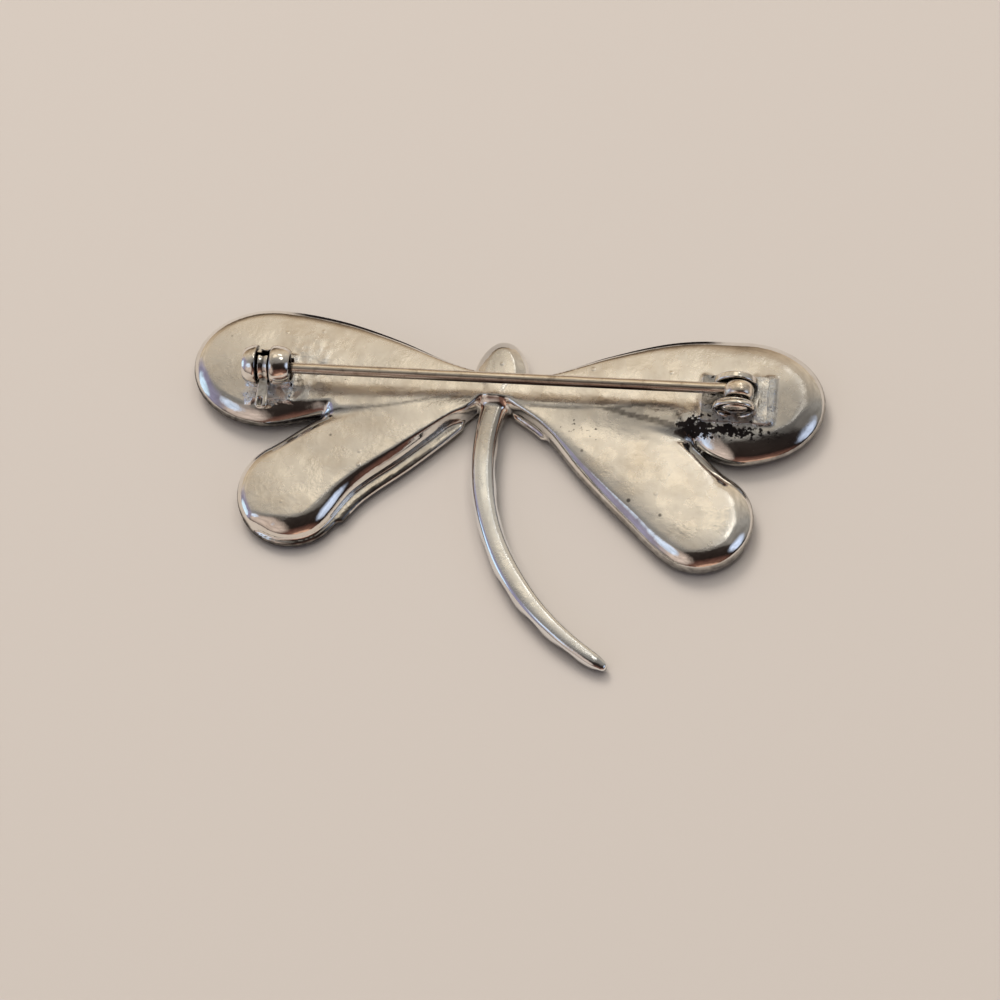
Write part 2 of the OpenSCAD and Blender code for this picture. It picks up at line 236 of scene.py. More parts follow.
def rolled(inset, z, wide, high, low, high_reach, low_reach, power=2.0):
    """Distance outside a section with rounded edges. The sideways share of the quarter ellipse,
    raised to a power, and the upwards share squared are added; the excess of the root over one,
    divided by its steepness, is the distance. A power below 2 makes the roll begin at a crease."""
    over = z > wide
    power = np.where(over, power, 2.0)
    reach = np.where(over, high_reach, low_reach)
    rise = np.where(over, high - wide, wide - low)
    sideways = np.maximum(reach - inset, 0.0) / reach
    upwards = np.abs(z - wide) / rise
    q = np.sqrt(sideways**power + upwards**2)
    across = power / 2 * np.maximum(sideways, 1e-4) ** (power - 1) / reach
    steepness = np.hypot(across, upwards / rise) / np.maximum(q, 1e-6)
    return (q - 1) / np.maximum(steepness, 1e-3)

# %% Joins, steps and waves


def join(a, b, soft):
    """The smaller of two distances, rounded off over the width soft where they are alike."""
    h = np.clip(0.5 + 0.5 * (b - a) / soft, 0.0, 1.0)
    return b + (a - b) * h - soft * h * (1 - h)


def step(low, high, x):
    """Rises smoothly from 0 at low to 1 at high."""
    t = np.clip((x - low) / (high - low), 0.0, 1.0)
    return t * t * (3 - 2 * t)


def waves(x, y, size, count, seed):
    """Smooth noise between about -1 and 1: the sum of many plane waves of about one size, each with
    its own direction and start."""
    rng = np.random.default_rng(seed)
    angle = rng.uniform(0, 2 * math.pi, count)
    pace = 2 * math.pi / (size * rng.uniform(0.7, 1.5, count))
    start = rng.uniform(0, 2 * math.pi, count)
    total = 0.0
    for a, p, s in zip(angle, pace, start):
        total = total + np.sin(p * (np.cos(a) * x + np.sin(a) * y) + s)
    return total * math.sqrt(2.0 / count) / 1.6


def bell(x, y, middle, size):
    """A smooth hill: 1 at the middle and falling off over the two sizes."""
    return np.exp(-(((x - middle[0]) / size[0]) ** 2) - ((y - middle[1]) / size[1]) ** 2)


print("a join over 0.3 mm fills its seam by", round(-float(join(0.0, 0.0, 0.3)), 3), "mm")

# %% [markdown]
# ## Solder
# The catch and the pin's joint sit on small plates that were soldered on. The solder has run out
# from under each plate in a low, lumpy skirt. It is added to the height of the wing's back: full
# height at the plate, none a millimetre away, times a noise.

# %% Solder skirts
CATCH_PLATE = ((-25.8, -21.4), (-3.1, 2.0))
JOINT_PLATE = ((21.5, 28.1), (-3.2, 1.9))


def outside_box(box, x, y):
    """How far (x, y) lies outside a rectangle, with a minus inside."""
    (left, right_edge), (near, far) = box
    dx = np.abs(x - (left + right_edge) / 2) - (right_edge - left) / 2
    dy = np.abs(y - (near + far) / 2) - (far - near) / 2
    return np.hypot(np.maximum(dx, 0), np.maximum(dy, 0)) + np.minimum(np.maximum(dx, dy), 0)


def solder_cover(x, y):
    """How much of (x, y) the solder covers, from 0 to 1: skirts round the plates, a run of beads
    beside the joint, and splashes beside the catch and in front of the joint."""
    lumps = waves(x, y, 1.3, 14, 3)
    cover = 0.0
    for box, skirt in ((CATCH_PLATE, 0.8), (JOINT_PLATE, 0.7)):
        outside = outside_box(box, x, y)
        cover = np.maximum(cover, 1 - step(0.0, 1.0, (outside + 0.15) / (skirt * (1 + 0.3 * lumps))))
    beads = (1 - step(0.2, 0.75, np.abs(x - 28.35))) * step(-3.6, -3.0, y) * (1 - step(1.9, 2.6, y))
    splash = 0.5 * bell(x, y, (-19.6, 1.6), (2.2, 2.4)) + 0.7 * bell(x, y, (-20.6, -1.8), (1.3, 1.2))
    splash = splash * (0.75 + 0.45 * lumps)
    pool = 0.5 * bell(x, y, (23.6, -3.9), (4.2, 0.9)) + 0.5 * bell(x, y, (20.2, -3.2), (1.4, 1.2))
    return np.maximum(np.maximum(cover, beads), np.minimum(splash + pool, 1.0))


def solder_height(x, y):
    """Height of the solder above the wing's back at (x, y)."""
    lumps = waves(x, y, 1.2, 14, 6)
    return solder_cover(x, y) * (0.16 + 0.07 * lumps + 0.035 * waves(x, y, 0.7, 14, 5))


print("solder on the catch's plate in mm:", round(float(solder_height(CATCH[0], 0.0)), 2))

# %% [markdown]
# ## A pair of wings
# Each upper wing lies a little above the lower one. Where a lower wing lies beneath it, its back
# ramps down to the lower level just inside its own edge, so a soft step runs across. The lower level
# also holds a web, a strip that fills the corner between the two. The ramp's width changes with the
# distance from the body. CROWN is how far a lower wing's back drops from its middle to its edge.

# %% Plans of the wings of one side
# A ramp's widths at distances from the body. A web: start and end, and its half width at each.
RAMP_AT = {"left": [0, 8, 11.8, 15, 17.5], "right": [0, 8, 12, 20, 30]}
RAMP_WIDTH = {"left": [0.7, 0.85, 1.05, 1.4, 2.2], "right": [0.35, 0.35, 0.4, 0.4, 0.4]}
WEBS = {"left": ((-5.5, -2.0), (-15.9, -2.9), 1.8, 2.05), "right": ((8.0, -2.4), (19.0, -2.7), 2.7, 2.9)}
CROWN = {"left": 0.3, "right": 0.5}
UPPER_CROWN = 0.36
CROWN_REACH = 0.85
# The round end of the upper right wing.
BULB_MIDDLE = (24.73, -1.5)
BULB_R = 5.35
# The lip on the lower wings' tail sides, and between which shares of the spine it shows.
LIP_OUT = 0.43
LIP_H = 1.35
LIP_T = 0.8
SHELF = 0.75
LIPS = {"left": (0.12, 0.86), "right": (0.035, 0.215)}


def upper_plan(side, x, y):
    """The upper wing's plan. The right one swells into a round bulb past its narrow arm."""
    inset, half, share, v = wing_plan(WINGS["upper_" + side], x, y)
    if side == "right":
        bulb = BULB_R - np.hypot(x - BULB_MIDDLE[0], y - BULB_MIDDLE[1])
        inset = -join(-inset, -bulb, 1.0)
        swell = step(18.0, 22.0, x) * (1 - step(24.0, 28.0, x)) * (1 - step(-2.5, -0.5, v))
        half = half + (BULB_R - half) * swell
    return inset, half, share, v


def web_plan(side, x, y):
    """How far inside the web (x, y) lies: a round-ended strip whose half width changes evenly."""
    start, end, start_half, end_half = WEBS[side]
    run = np.subtract(end, start)
    share = np.clip(((x - start[0]) * run[0] + (y - start[1]) * run[1]) / (run @ run), 0, 1)
    away = np.hypot(x - start[0] - share * run[0], y - start[1] - share * run[1])
    return start_half + share * (end_half - start_half) - away

# %% Levels of the wings of one side


def levels(side, x, y, uneven):
    """Plans and back heights of both wings of a side, before their edges roll over. Both backs drop
    by their crown towards the edges, apart from where the two wings meet. Returns the upper wing's
    inset, what is added to it under the step, its height and its plan, then the lower wing's."""
    inset, half, share, v = upper_plan(side, x, y)
    low_inset, low_half, low_share, low_v = wing_plan(WINGS["lower_" + side], x, y)
    spread = -join(-low_inset, -web_plan(side, x, y), 1.0)
    crown = CROWN[side] * (1 - np.clip(spread / (CROWN_REACH * low_half), 0, 1)) ** 2
    crown = crown * step(0.1, 0.45, low_share)
    crown = crown * (1 - step(-1.0, 1.2, web_plan(side, x, y)))
    low_high = BACK_H - WING_STEP[side] - crown + uneven * step(0.3, 2.0, spread)
    if side == "right":
        band = step(8.0, 11.0, x) * (1 - step(19.5, 21.0, x))
        low_high = low_high + 0.06 * band * (1 - step(0.0, 2.6, -inset))
        rim = np.exp(-(((low_inset - 1.2) / 0.4) ** 2)) * step(0.7, 0.76, low_share)
        low_high = low_high + 0.13 * rim * (low_v > 0) * (1 - step(0.9, 0.97, low_share))
    tailward = 1 - step(-0.8, 0.3, v)
    under = step(0.3, 1.2, spread) * tailward
    buried = step(0.8, 1.7, spread) * tailward
    crown = UPPER_CROWN * (1 - np.clip(inset / (CROWN_REACH * half), 0, 1)) ** 2
    crown = crown * step(0.1, 0.5, share)
    calm = step(-1.8, 0.6, spread) * (1 - step(-0.8, 1.4, v))
    high = BACK_H - crown * (1 - calm) + uneven * step(0.3, 2.0, np.maximum(inset, spread))
    t = np.clip(inset / np.interp(np.abs(x), RAMP_AT[side], RAMP_WIDTH[side]), 0, 1)
    ramp = 1 - 0.5 * t - 0.5 * t * t * (3 - 2 * t)
    high = high + (low_high - 0.02 - high) * ramp * under - 0.4 * np.maximum(-inset, 0) * under
    low_plan = (low_inset, low_v, low_share)
    return inset, 1.2 * buried, high, half, v, share, spread, low_high, low_half, low_plan

# %% Lip, rolls and the finished pair


def lip(inset, v, share, span, z):
    """Distance outside the lip, a rounded strip just outside a lower wing's tail side."""
    start, end = span
    out = LIP_OUT * step(start - 0.02, start + 0.02, share) * (1 - step(end - 0.015, end + 0.015, share))
    sideways = np.maximum(-inset - out, v)
    upwards = np.abs(z - LIP_H + LIP_T / 2) - LIP_T / 2
    soft = 0.32
    a, b = sideways + soft, upwards + soft
    return np.hypot(np.maximum(a, 0), np.maximum(b, 0)) + np.minimum(np.maximum(a, b), 0) - soft


def roll_shape(side, half, v, share, low_half, low_v, low_share):
    """How far in the back rolls over, and with which power, for the upper and the lower wing. The
    right wings' ends are softer pillows. The lower left one has a broad bevel on its tail side, and
    behind it a shelf, where the wing draws back from its lip."""
    tail_side = step(-0.1, 0.35, -v / half)
    power = 2 - 0.8 * tail_side
    reach = BACK_ROLL * half
    low_tail = step(0.1, 0.5, -low_v / low_half)
    low_reach = BACK_ROLL * low_half + 0.15
    if side == "left":
        bevel = low_tail * step(0.08, 0.2, low_share)
        shelf = SHELF * bevel * (1 - 0.25 * step(0.7, 1.0, low_share))
        return reach, power, shelf, low_reach + 0.2 * step(0.74, 0.9, low_share) * bevel, 2 - 0.7 * bevel
    reach = reach + 0.9 * step(0.8, 1.0, share) * (1 - tail_side) + 0.6 * step(0.6, 0.8, share) * tail_side
    low_reach = low_reach + 0.8 * step(0.75, 1.0, low_share) * step(-0.5, 0.2, low_v / low_half)
    return reach, power, 0.0, low_reach, 2 - 0.5 * low_tail


def wing_pair(side, x, y, z, uneven, solder):
    """Distance outside both wings of a side."""
    inset, extra, high, half, v, share, spread, low_high, low_half, plan = levels(side, x, y, uneven)
    high = high + solder * step(-0.3, 1.2, inset)
    low_inset, low_v, low_share = plan
    reach, power, shelf, low_reach, low_power = roll_shape(side, half, v, share, low_half, low_v, low_share)
    upper = rolled(inset + extra, z, WALL_H, high, 0.0, reach, FRONT_ROLL * half, power)
    low_high = low_high + solder
    lower = rolled(spread - shelf, z, WALL_H, low_high, 0.05, low_reach, FRONT_ROLL * low_half, low_power)
    lower = join(lower, lip(low_inset, low_v, low_share, LIPS[side], z), 0.3)
    return join(upper, lower, 0.16)


print("steps from the upper wings down to the lower ones in mm:", WING_STEP)

# %% [markdown]
# ## Head and tail
# The head is an oval with a flat top and a sloping bevel round it. The tail is a squarish rod bent
# along an arc. Its back is smooth, and its front, which peeps out on the outer side, is cut into
# segments.

# %% Head and tail
HEAD_MIDDLE = (0.3, 0.8)
HEAD_HALF = 3.0
HEAD_REACH = 5.05
HEAD_ROOT = 1.5
HEAD_TOP = 2.9
BEVEL = 1.35
TAIL_R = 25.5
TAIL_MIDDLE = (25.0, -6.9)
TAIL_START = 165.0
TAIL_TURN = 80.0
TAIL_H = 2.8
TAIL_LOW = 0.2
TAIL_SEGMENTS = 8
# Along the tail: half widths in millimetres, and heights as shares of the one at its root.
TAIL_SHARES = [0, 0.15, 0.3, 0.45, 0.62, 0.74, 0.82, 0.9, 0.96, 1]
TAIL_HALVES = [1.45, 1.3, 1.3, 1.22, 1.27, 1.13, 1.02, 0.9, 0.78, 0.5]
TAIL_HEIGHTS = [1, 1, 1, 1, 0.96, 0.9, 0.83, 0.7, 0.55, 0.35]


def head(x, y, z):
    """Distance outside the head: an oval that reaches further one way, with a bevelled back."""
    u = (x - HEAD_MIDDLE[0]) / HEAD_HALF
    reach = np.where(y > HEAD_MIDDLE[1], HEAD_REACH, HEAD_ROOT)
    v = (y - HEAD_MIDDLE[1]) / reach
    q = np.hypot(u, v)
    steepness = np.hypot(u / HEAD_HALF, v / reach) / np.maximum(q, 1e-6)
    inset = (1 - q) / np.maximum(steepness, 1e-2)
    slope_in = np.maximum(BEVEL - inset, 0.0)
    high = HEAD_TOP - 0.62 * slope_in**1.15 - 0.05 * np.maximum(0, 2.6 - inset)
    return rolled(inset, z, WALL_H - 0.2, high, 0.4, 0.4, 1.4)


def tail(x, y, z):
    """Distance outside the tail. The angle about the arc's middle gives the place along the tail and
    the distance from it gives the place across. The section is an oval with its shares raised to
    powers over two, which makes it squarish; under the back it narrows between the segments."""
    dx, dy = x - TAIL_MIDDLE[0], y - TAIL_MIDDLE[1]
    turn = np.degrees(np.arctan2(dy, dx)) % 360.0
    t = (turn - TAIL_START) / TAIL_TURN
    half, _ = curve(TAIL_SHARES, TAIL_HALVES, np.clip(t, 0, 1))
    tall, _ = curve(TAIL_SHARES, TAIL_HEIGHTS, np.clip(t, 0, 1))
    low = TAIL_LOW + 0.3 * (1 - tall)
    rise = tall * (TAIL_H - TAIL_LOW) / 2
    upwards = (z - low - rise) / rise
    lobes = 1 - 0.2 * np.abs(np.cos(math.pi * TAIL_SEGMENTS * t)) ** 3
    width = half * (lobes + (0.985 - lobes) * step(-0.1, 0.45, upwards))
    sideways = (TAIL_R - np.hypot(dx, dy)) / width
    q = (np.abs(sideways) ** 3.0 + np.abs(upwards) ** 2.4) ** 0.37
    body = (q - 1) * np.minimum(width, rise)
    ends = np.maximum(-t, t - 0.995) * TAIL_R * math.radians(TAIL_TURN)
    return -join(-body, -ends, 0.25)


print("length of the tail in mm:", round(TAIL_R * math.radians(TAIL_TURN), 1))

# %% [markdown]
# ## The whole casting
# The back of the real casting isn't quite flat: it is a little crowned, and uneven by a few
# hundredths of a millimetre, which is what bends the reflections in it. Both are in the height.

# %% The casting's formula
FEET = ((-25.75, -24.85), (-22.9, -21.4))
FOOT_Y = (-1.4, 0.8)
FOOT_H = 3.9


def unevenness(x, y):
    """Slow and quick waviness of the polished back, and a hollow beside the catch."""
    wavy = 0.022 * waves(x, y, 9.0, 10, 11) + 0.007 * waves(x, y, 2.4, 14, 12)
    hollow = 0.04 * bell(x, y, (-17.8, -2.0), (1.7, 0.9)) - 0.02 * bell(x, y, (-15.6, -1.2), (0.5, 1.6))
    return wavy - hollow


def casting(x, y, z):
    """Distance outside the whole casting: its forms and two low feet of solder under the catch's
    lobes, joined with soft seams, and cut off level just above the floor."""
    uneven = unevenness(x, y)
    solder = solder_height(x, y)
    left_pair = wing_pair("left", x, y, z, uneven, solder)
    result = join(left_pair, wing_pair("right", x, y, z, uneven, solder), 0.5)
    result = join(result, head(x, y, z), 0.2)
    result = join(result, tail(x, y, z), 0.7)
    for span in FEET:
        beside = outside_box((span, FOOT_Y), x, y)
        foot = np.hypot(np.maximum(beside, 0), np.maximum(z - FOOT_H, 0)) - 0.12
        result = join(result, foot, 0.5)
    return np.maximum(result, 0.01 - z)


print("depth in the middle of the head in mm:", round(-float(casting(*HEAD_MIDDLE, WALL_H)), 2))

# %% [markdown]
# ## From a formula to a mesh
# The formula is worked out at every point of a fine block of space. A small cube of that block that
# has metal at some corners and air at others holds a piece of the surface, and gets one point, in
# the middle of the places where its edges cross the surface. Each edge that crosses joins the four
# cubes around it into a face. Last, each point slides along the steepest way until the formula says
# nought, so that it lies exactly on the surface and reflections run smoothly.

# %% Points on the surface of a formula


def surface_points(values, corner, spacing):
    """One point for each cube that the surface runs through, and the number of each cube's point."""
    inside = values < 0
    shape = np.array(values.shape) - 1
    corners = [(i, j, k) for i in (0, 1) for j in (0, 1) for k in (0, 1)]
    view = {c: tuple(slice(c[a], c[a] + shape[a]) for a in range(3)) for c in corners}
    count = sum(inside[view[c]].astype(np.int8) for c in corners)
    cells = np.argwhere((count > 0) & (count < 8))
    total = np.zeros((len(cells), 3))
    crossings = np.zeros(len(cells))
    for c in corners:
        for axis in range(3):
            if c[axis] == 1:
                continue
            one = cells + c
            two = one.copy()
            two[:, axis] += 1
            a, b = values[tuple(one.T)], values[tuple(two.T)]
            crosses = (a < 0) != (b < 0)
            share = np.where(crosses, a / np.where(crosses, a - b, 1.0), 0.0)
            place = one.astype(float)
            place[:, axis] += share
            total += place * crosses[:, None]
            crossings += crosses
    number = np.full(shape, -1, dtype=np.int64)
    number[tuple(cells.T)] = np.arange(len(cells))
    return corner + spacing * total / crossings[:, None], number

# %% Faces between the points


def surface_faces(values, number):
    """A face for each grid edge that crosses the surface, turned so that it looks out of the metal."""
    inside = values < 0
    faces = []
    for axis in range(3):
        b, c = (axis + 1) % 3, (axis + 2) % 3
        ahead = [slice(1, -1)] * 3
        ahead[axis] = slice(1, None)
        here = [slice(1, -1)] * 3
        here[axis] = slice(0, -1)
        first, second = inside[tuple(here)], inside[tuple(ahead)]
        edges = np.argwhere(first != second)
        outwards = first[tuple(edges.T)]
        base = edges + 1
        base[:, axis] -= 1
        around = []
        for sb, sc in ((-1, -1), (0, -1), (0, 0), (-1, 0)):
            cell = base.copy()
            cell[:, b] += sb
            cell[:, c] += sc
            around.append(number[tuple(cell.T)])
        quad = np.stack(around, -1)
        faces.append(np.where(outwards[:, None], quad, quad[:, ::-1]))
    return np.concatenate(faces)

# %% Points that settle on the surface


def settle(points, formula, rounds=4):
    """Slides points onto the surface: each goes against the steepest way by the formula's value
    over its steepness, both measured from four near points round it."""
    tilt = np.array([[1, 1, 1], [1, -1, -1], [-1, 1, -1], [-1, -1, 1]], float)
    small = 0.004
    for _ in range(rounds):
        near = [formula(*(points + small * t).T) for t in tilt]
        value = sum(near) / 4
        slope = sum(n[:, None] * t for n, t in zip(near, tilt)) / (4 * small)
        steep = np.maximum((slope**2).sum(1), 0.05)
        move = -(value / steep)[:, None] * slope
        far = np.linalg.norm(move, axis=1)
        points = points + move * np.minimum(1.0, 0.1 / np.maximum(far, 1e-9))[:, None]
    return points


def relax(points, faces, share=0.5):
    """Moves each point part of the way to the middle of its neighbours, which evens out the faces."""
    total = np.zeros_like(points)
    count = np.zeros(len(points))
    for a in range(4):
        for b in ((a + 1) % 4, (a + 3) % 4):
            np.add.at(total, faces[:, a], points[faces[:, b]])
            np.add.at(count, faces[:, a], 1)
    return points + share * (total / count[:, None] - points)

# %% Make the casting
SPACING = 0.225
LOW = np.array([-33.1, -30.9, -0.4])
HIGH = np.array([34.6, 9.2, 5.2])

counts = np.ceil((HIGH - LOW) / SPACING).astype(int) + 1
gx, gy, gz = (LOW[a] + SPACING * np.arange(counts[a]) for a in range(3))
values = casting(gx[:, None, None], gy[None, :, None], gz[None, None, :])
points, number = surface_points(values, LOW, SPACING)
faces = surface_faces(values, number)
for _ in range(3):
    points = settle(relax(points, faces), casting, 2)
points = settle(points, casting)
body_piece = mesh_piece(
    "cast_dragonfly", points + BODY, faces, "brooch", "casting", weld=False
)

# %% [markdown]
# ## Marks on the surface
# Some marks are worked out for each point of a mesh and stored on it, for the material to read:
# where solder lies, where dirt has gathered in chips, where shade is painted along crevices, rims
# and undersides, where a grey is painted for darker reflections and shade, where a bluish white
# sheen is painted for bright reflections and where the surface rolls over an edge.

# %% How a mark is stored


def store(piece, mark, formula):
    """Stores formula(x, y, z), in the part's own millimetres, on each point of a piece's mesh."""
    mesh = piece.data
    places = np.empty(3 * len(mesh.vertices))
    mesh.vertices.foreach_get("co", places)
    places = places.reshape(-1, 3) / MM - BODY
    amount = np.clip(formula(*places.T), 0, 1)
    mesh.attributes.new(mark, "FLOAT", "POINT").data.foreach_set("value", amount.astype(np.float32))
    print(mark, "on", piece.name, "covers", round(float(100 * np.mean(amount)), 1), "% of the points")

# %% Marks of the casting


def painted_shade_lines(x, y, z):
    """Painted shade: darker lines along the upper wings' head edges, along both ends of the ramps to
    the lower level and round the rims. The undersides near the floor are painted darker all over."""
    dark = 0.0
    for side, start, end in (("left", 0.14, 1.0), ("right", 0.24, 0.95)):
        inset, half, share, v = upper_plan(side, x, y)
        line = (1 - step(0.09, 0.15, inset / half)) * (v > 0) * step(1.3, 2.0, z)
        dark = np.maximum(dark, line * step(start, start + 0.1, share) * (1 - step(end - 0.15, end, share)))
        width = np.interp(np.abs(x), RAMP_AT[side], RAMP_WIDTH[side])
        seam = np.exp(-((inset / 0.17) ** 2))
        seam = seam + 0.6 * np.exp(-(((inset - width) / 0.15) ** 2)) * (side == "left")
        seam = seam * (v < 0) * (z > 2.6) * (web_plan(side, x, y) > -1.5) * (1 - step(0.62, 0.78, share))
        dark = np.maximum(dark, (0.36 if side == "left" else 0.42) * seam)
        low_inset, low_half, _, _ = wing_plan(WINGS["lower_" + side], x, y)
        rim = np.maximum(inset / half, low_inset / low_half)
        own_side = x < -6 if side == "left" else x > 6
        edge = (1 - step(0.01, 0.04, rim)) * (rim > -0.1) * own_side
        dark = np.maximum(dark, (0.62 if side == "left" else 0.45) * edge)
    return np.maximum(dark, 0.75 * (1 - step(0.5, 1.1, z)))


def chip_marks(x, y, z):
    """Dirt that has gathered in front of the joint, a little on the lower right wing, and round the
    catch's plate."""
    front = bell(x, y, (24.6, -4.2), (5.0, 0.95)) + bell(x, y, (20.6, -3.6), (1.4, 1.0))
    front = front + 0.42 * bell(x, y, (9.5, -4.6), (2.6, 1.4))
    ring = np.exp(-(((outside_box(CATCH_PLATE, x, y) - 0.1) / 0.25) ** 2)) * (y < 1.5)
    return np.maximum(0.95 * front, 0.45 * ring)


def painted_grey_marks(x, y, z):
    """Where a grey is painted in, standing for darker reflections and shade: at both upper wings'
    ends, below the joint, along the right step, on the head and the tail's root, and faintly on
    three of the flats."""
    left = 0.36 * bell(x, y, (-28.5, -1.5), (3.2, 4.5)) + 0.45 * bell(x, y, (-18.2, -1.8), (1.8, 1.1))
    right = 1.25 * bell(x, y, (30.2, -0.8), (2.3, 3.4)) + 0.95 * bell(x, y, (26.0, -4.2), (4.6, 1.0))
    band = 0.95 * bell(x, y, (14.5, -3.2), (6.0, 1.5)) * step(1.5, 2.4, -y)
    middle = 0.62 * bell(x, y, (-0.6, 4.2), (2.8, 2.8))
    middle = middle + 0.65 * bell(x, y, (0.0, -4.6), (1.8, 4.5)) * (y < -2.6)
    flats = 0.2 * bell(x, y, (-13.0, -7.5), (7.0, 5.0)) + 0.2 * bell(x, y, (-11.8, 1.5), (3.0, 2.0))
    flats = flats + 0.24 * bell(x, y, (25.0, 4.5), (6.0, 2.5))
    return (left + right + band + middle + flats) * (z > 2.0)


def painted_sheen_marks(x, y, z):
    """Where a bluish white sheen is painted, standing for bright reflections: along the tail and where
    the left wings meet.
    """
    along_tail = (tail(x, y, z) < 0.35) * step(6.0, 10.0, -y)
    return (0.8 - 0.3 * step(14.0, 22.0, -y)) * along_tail + 0.7 * bell(x, y, (-17.2, -3.6), (1.6, 0.7))


normals = np.empty(3 * len(points))
body_piece.data.vertices.foreach_get("normal", normals)
store(body_piece, "solder", lambda x, y, z: solder_cover(x, y))
store(body_piece, "chips", chip_marks)
# The next three marks are painted: shade, a grey for darker reflections and a bluish sheen.
store(body_piece, "dark", painted_shade_lines)
store(body_piece, "dull", painted_grey_marks)
store(body_piece, "pale", painted_sheen_marks)
store(body_piece, "rolls", lambda x, y, z: 1 - step(0.90, 0.985, normals[2::3]))

# %% [markdown]
# ## The catch's barrel
# Two bead-shaped lobes are soldered to a small plate. Each is a ring with a gap towards the head,
# where the pin goes in. A closed profile, drawn in the distance along the pin and the distance from
# the pin, is carried round the axis from one side of the gap to the other. Near the gap the profile
# shrinks a little, which rounds the edge, and then shrinks to its middle, which closes the end.

# %% Rings with a gap


def rounded_loop(soft_u, soft_w, corner=7, side=9):
    """Points round a rectangle from -1 to 1, evenly along its sides and along its corners, which
    are quarter ellipses soft_u wide and soft_w high."""
    a = np.linspace(0, math.pi / 2, corner)
    loop = []
    for turn_number, (su, sw) in enumerate(((1, 1), (-1, 1), (-1, -1), (1, -1))):
        b = a + turn_number * math.pi / 2
        u = su * (1 - soft_u) + soft_u * np.cos(b)
        w = sw * (1 - soft_w) + soft_w * np.sin(b)
        loop += list(zip(u, w))
        next_u, next_w = ((-1, 1), (-1, -1), (1, -1), (1, 1))[turn_number]
        b = b[-1]
        stop = (next_u * (1 - soft_u) + soft_u * math.cos(b), next_w * (1 - soft_w) + soft_w * math.sin(b))
        for share in np.linspace(0, 1, side + 2)[1:-1]:
            loop.append((u[-1] + share * (stop[0] - u[-1]), w[-1] + share * (stop[1] - w[-1])))
    return np.array(loop).T


def gapped_ring(span, inner, outer, gap, gap_turn, soft, around=96):
    """Points and faces of a ring about the catch's axis. span is its start and end in X, inner its
    inner radius and outer its outer radius at X, gap half the gap's width, gap_turn the gap's angle
    from +Y, and soft the shares of the section's half width and half height that are rounded."""
    u, w = rounded_loop(*soft)
    middle = (span[0] + span[1]) / 2
    x = middle + u * (span[1] - span[0]) / 2
    r = inner + (w + 1) / 2 * (outer(x) - inner)
    middle_r = (inner + outer(middle)) / 2
    shrink = np.array([0, 0.5, 0.82, 0.93, 0.98])
    inwards = np.array([0, 0, 0.02, 0.06, 0.11])
    size = np.concatenate([shrink, np.ones(around), shrink[::-1]])[:, None]
    x = middle + size * (x - middle)
    r = middle_r + size * (r - middle_r)
    start = np.arcsin(np.clip(gap / r, 0, 1))
    first = start[:5] + inwards[:, None] / r[:5]
    last = 2 * math.pi - start[-5:] - inwards[::-1, None] / r[-5:]
    begin = start[5] + 0.16 / r[5]
    rest = begin + np.linspace(0, 1, around)[:, None] * (2 * math.pi - 2 * begin)
    angle = np.concatenate([first, rest, last]) + math.radians(gap_turn)
    points = np.stack([x, r * np.cos(angle) + CATCH[1], r * np.sin(angle) + CATCH[2]], -1)
    return points.reshape(-1, 3), grid_faces(len(points), points.shape[1])

# %% The catch's lobes


def gather(parts):
    """One array of points and one of faces from several of each."""
    points, faces, base = [], [], 0
    for p, f in parts:
        points.append(p)
        faces.append(f + base)
        base += len(p)
    return np.concatenate(points), np.concatenate(faces)


BORE_R = 1.4
BARREL_GAP = 0.67
LOBES = ((-26.06, -24.55), (-23.15, -21.12))


def barrel_radius(x):
    """The barrel's outside: widest in its middle and falling off towards both ends."""
    return 2.15 - 0.5 * np.abs((x - CATCH[0]) / 2.5) ** 3


lobes = gather([gapped_ring(span, BORE_R, barrel_radius, BARREL_GAP, 0, (0.6, 0.62)) for span in LOBES])
lobes_piece = mesh_piece("catch_lobes", lobes[0] + BODY, lobes[1], "brooch", "casting")


def from_axis(y, z):
    """Distance from the catch's axis."""
    return np.hypot(y - CATCH[1], z - CATCH[2])


def lobe_shade(x, y, z):
    """Dark inside the bore and on the two faces of the groove."""
    bore = 1 - step(BORE_R + 0.02, BORE_R + 0.3, from_axis(y, z))
    groove = 1 - step(0.02, 0.16, np.minimum(np.abs(x - LOBES[0][1]), np.abs(x - LOBES[1][0])))
    return np.maximum(bore, groove)


store(lobes_piece, "dark", lobe_shade)

# %% [markdown]
# ## The catch's rotor
# A slotted tube turns inside the lobes. Between them it is wider, and a finger tab stands out from
# it there. The tab is a closed profile carried straight out from the axis. Its half width and half
# thickness change on the way, and a hollow is pressed into its end.

# %% Rotor
# At rest the slot lies this far past the barrel's gap, and a turn back by as much opens the catch.
ROTOR_GAP_TURN = 55.0
TAB_TURN = math.radians(192.0)
TUBE = (-25.95, -21.3)
TUBE_R = 1.33
DISC = (-24.39, -23.32)
DISC_R = 1.7
TAB_FROM = 1.1
TAB_REACH = 3.6
DENT_AT = 4.0


def disc_radius(x):
    """The disc's outside, with a shallow channel round its middle."""
    return DISC_R - 0.13 * np.exp(-(((x - GROOVE_X) / 0.3) ** 2))


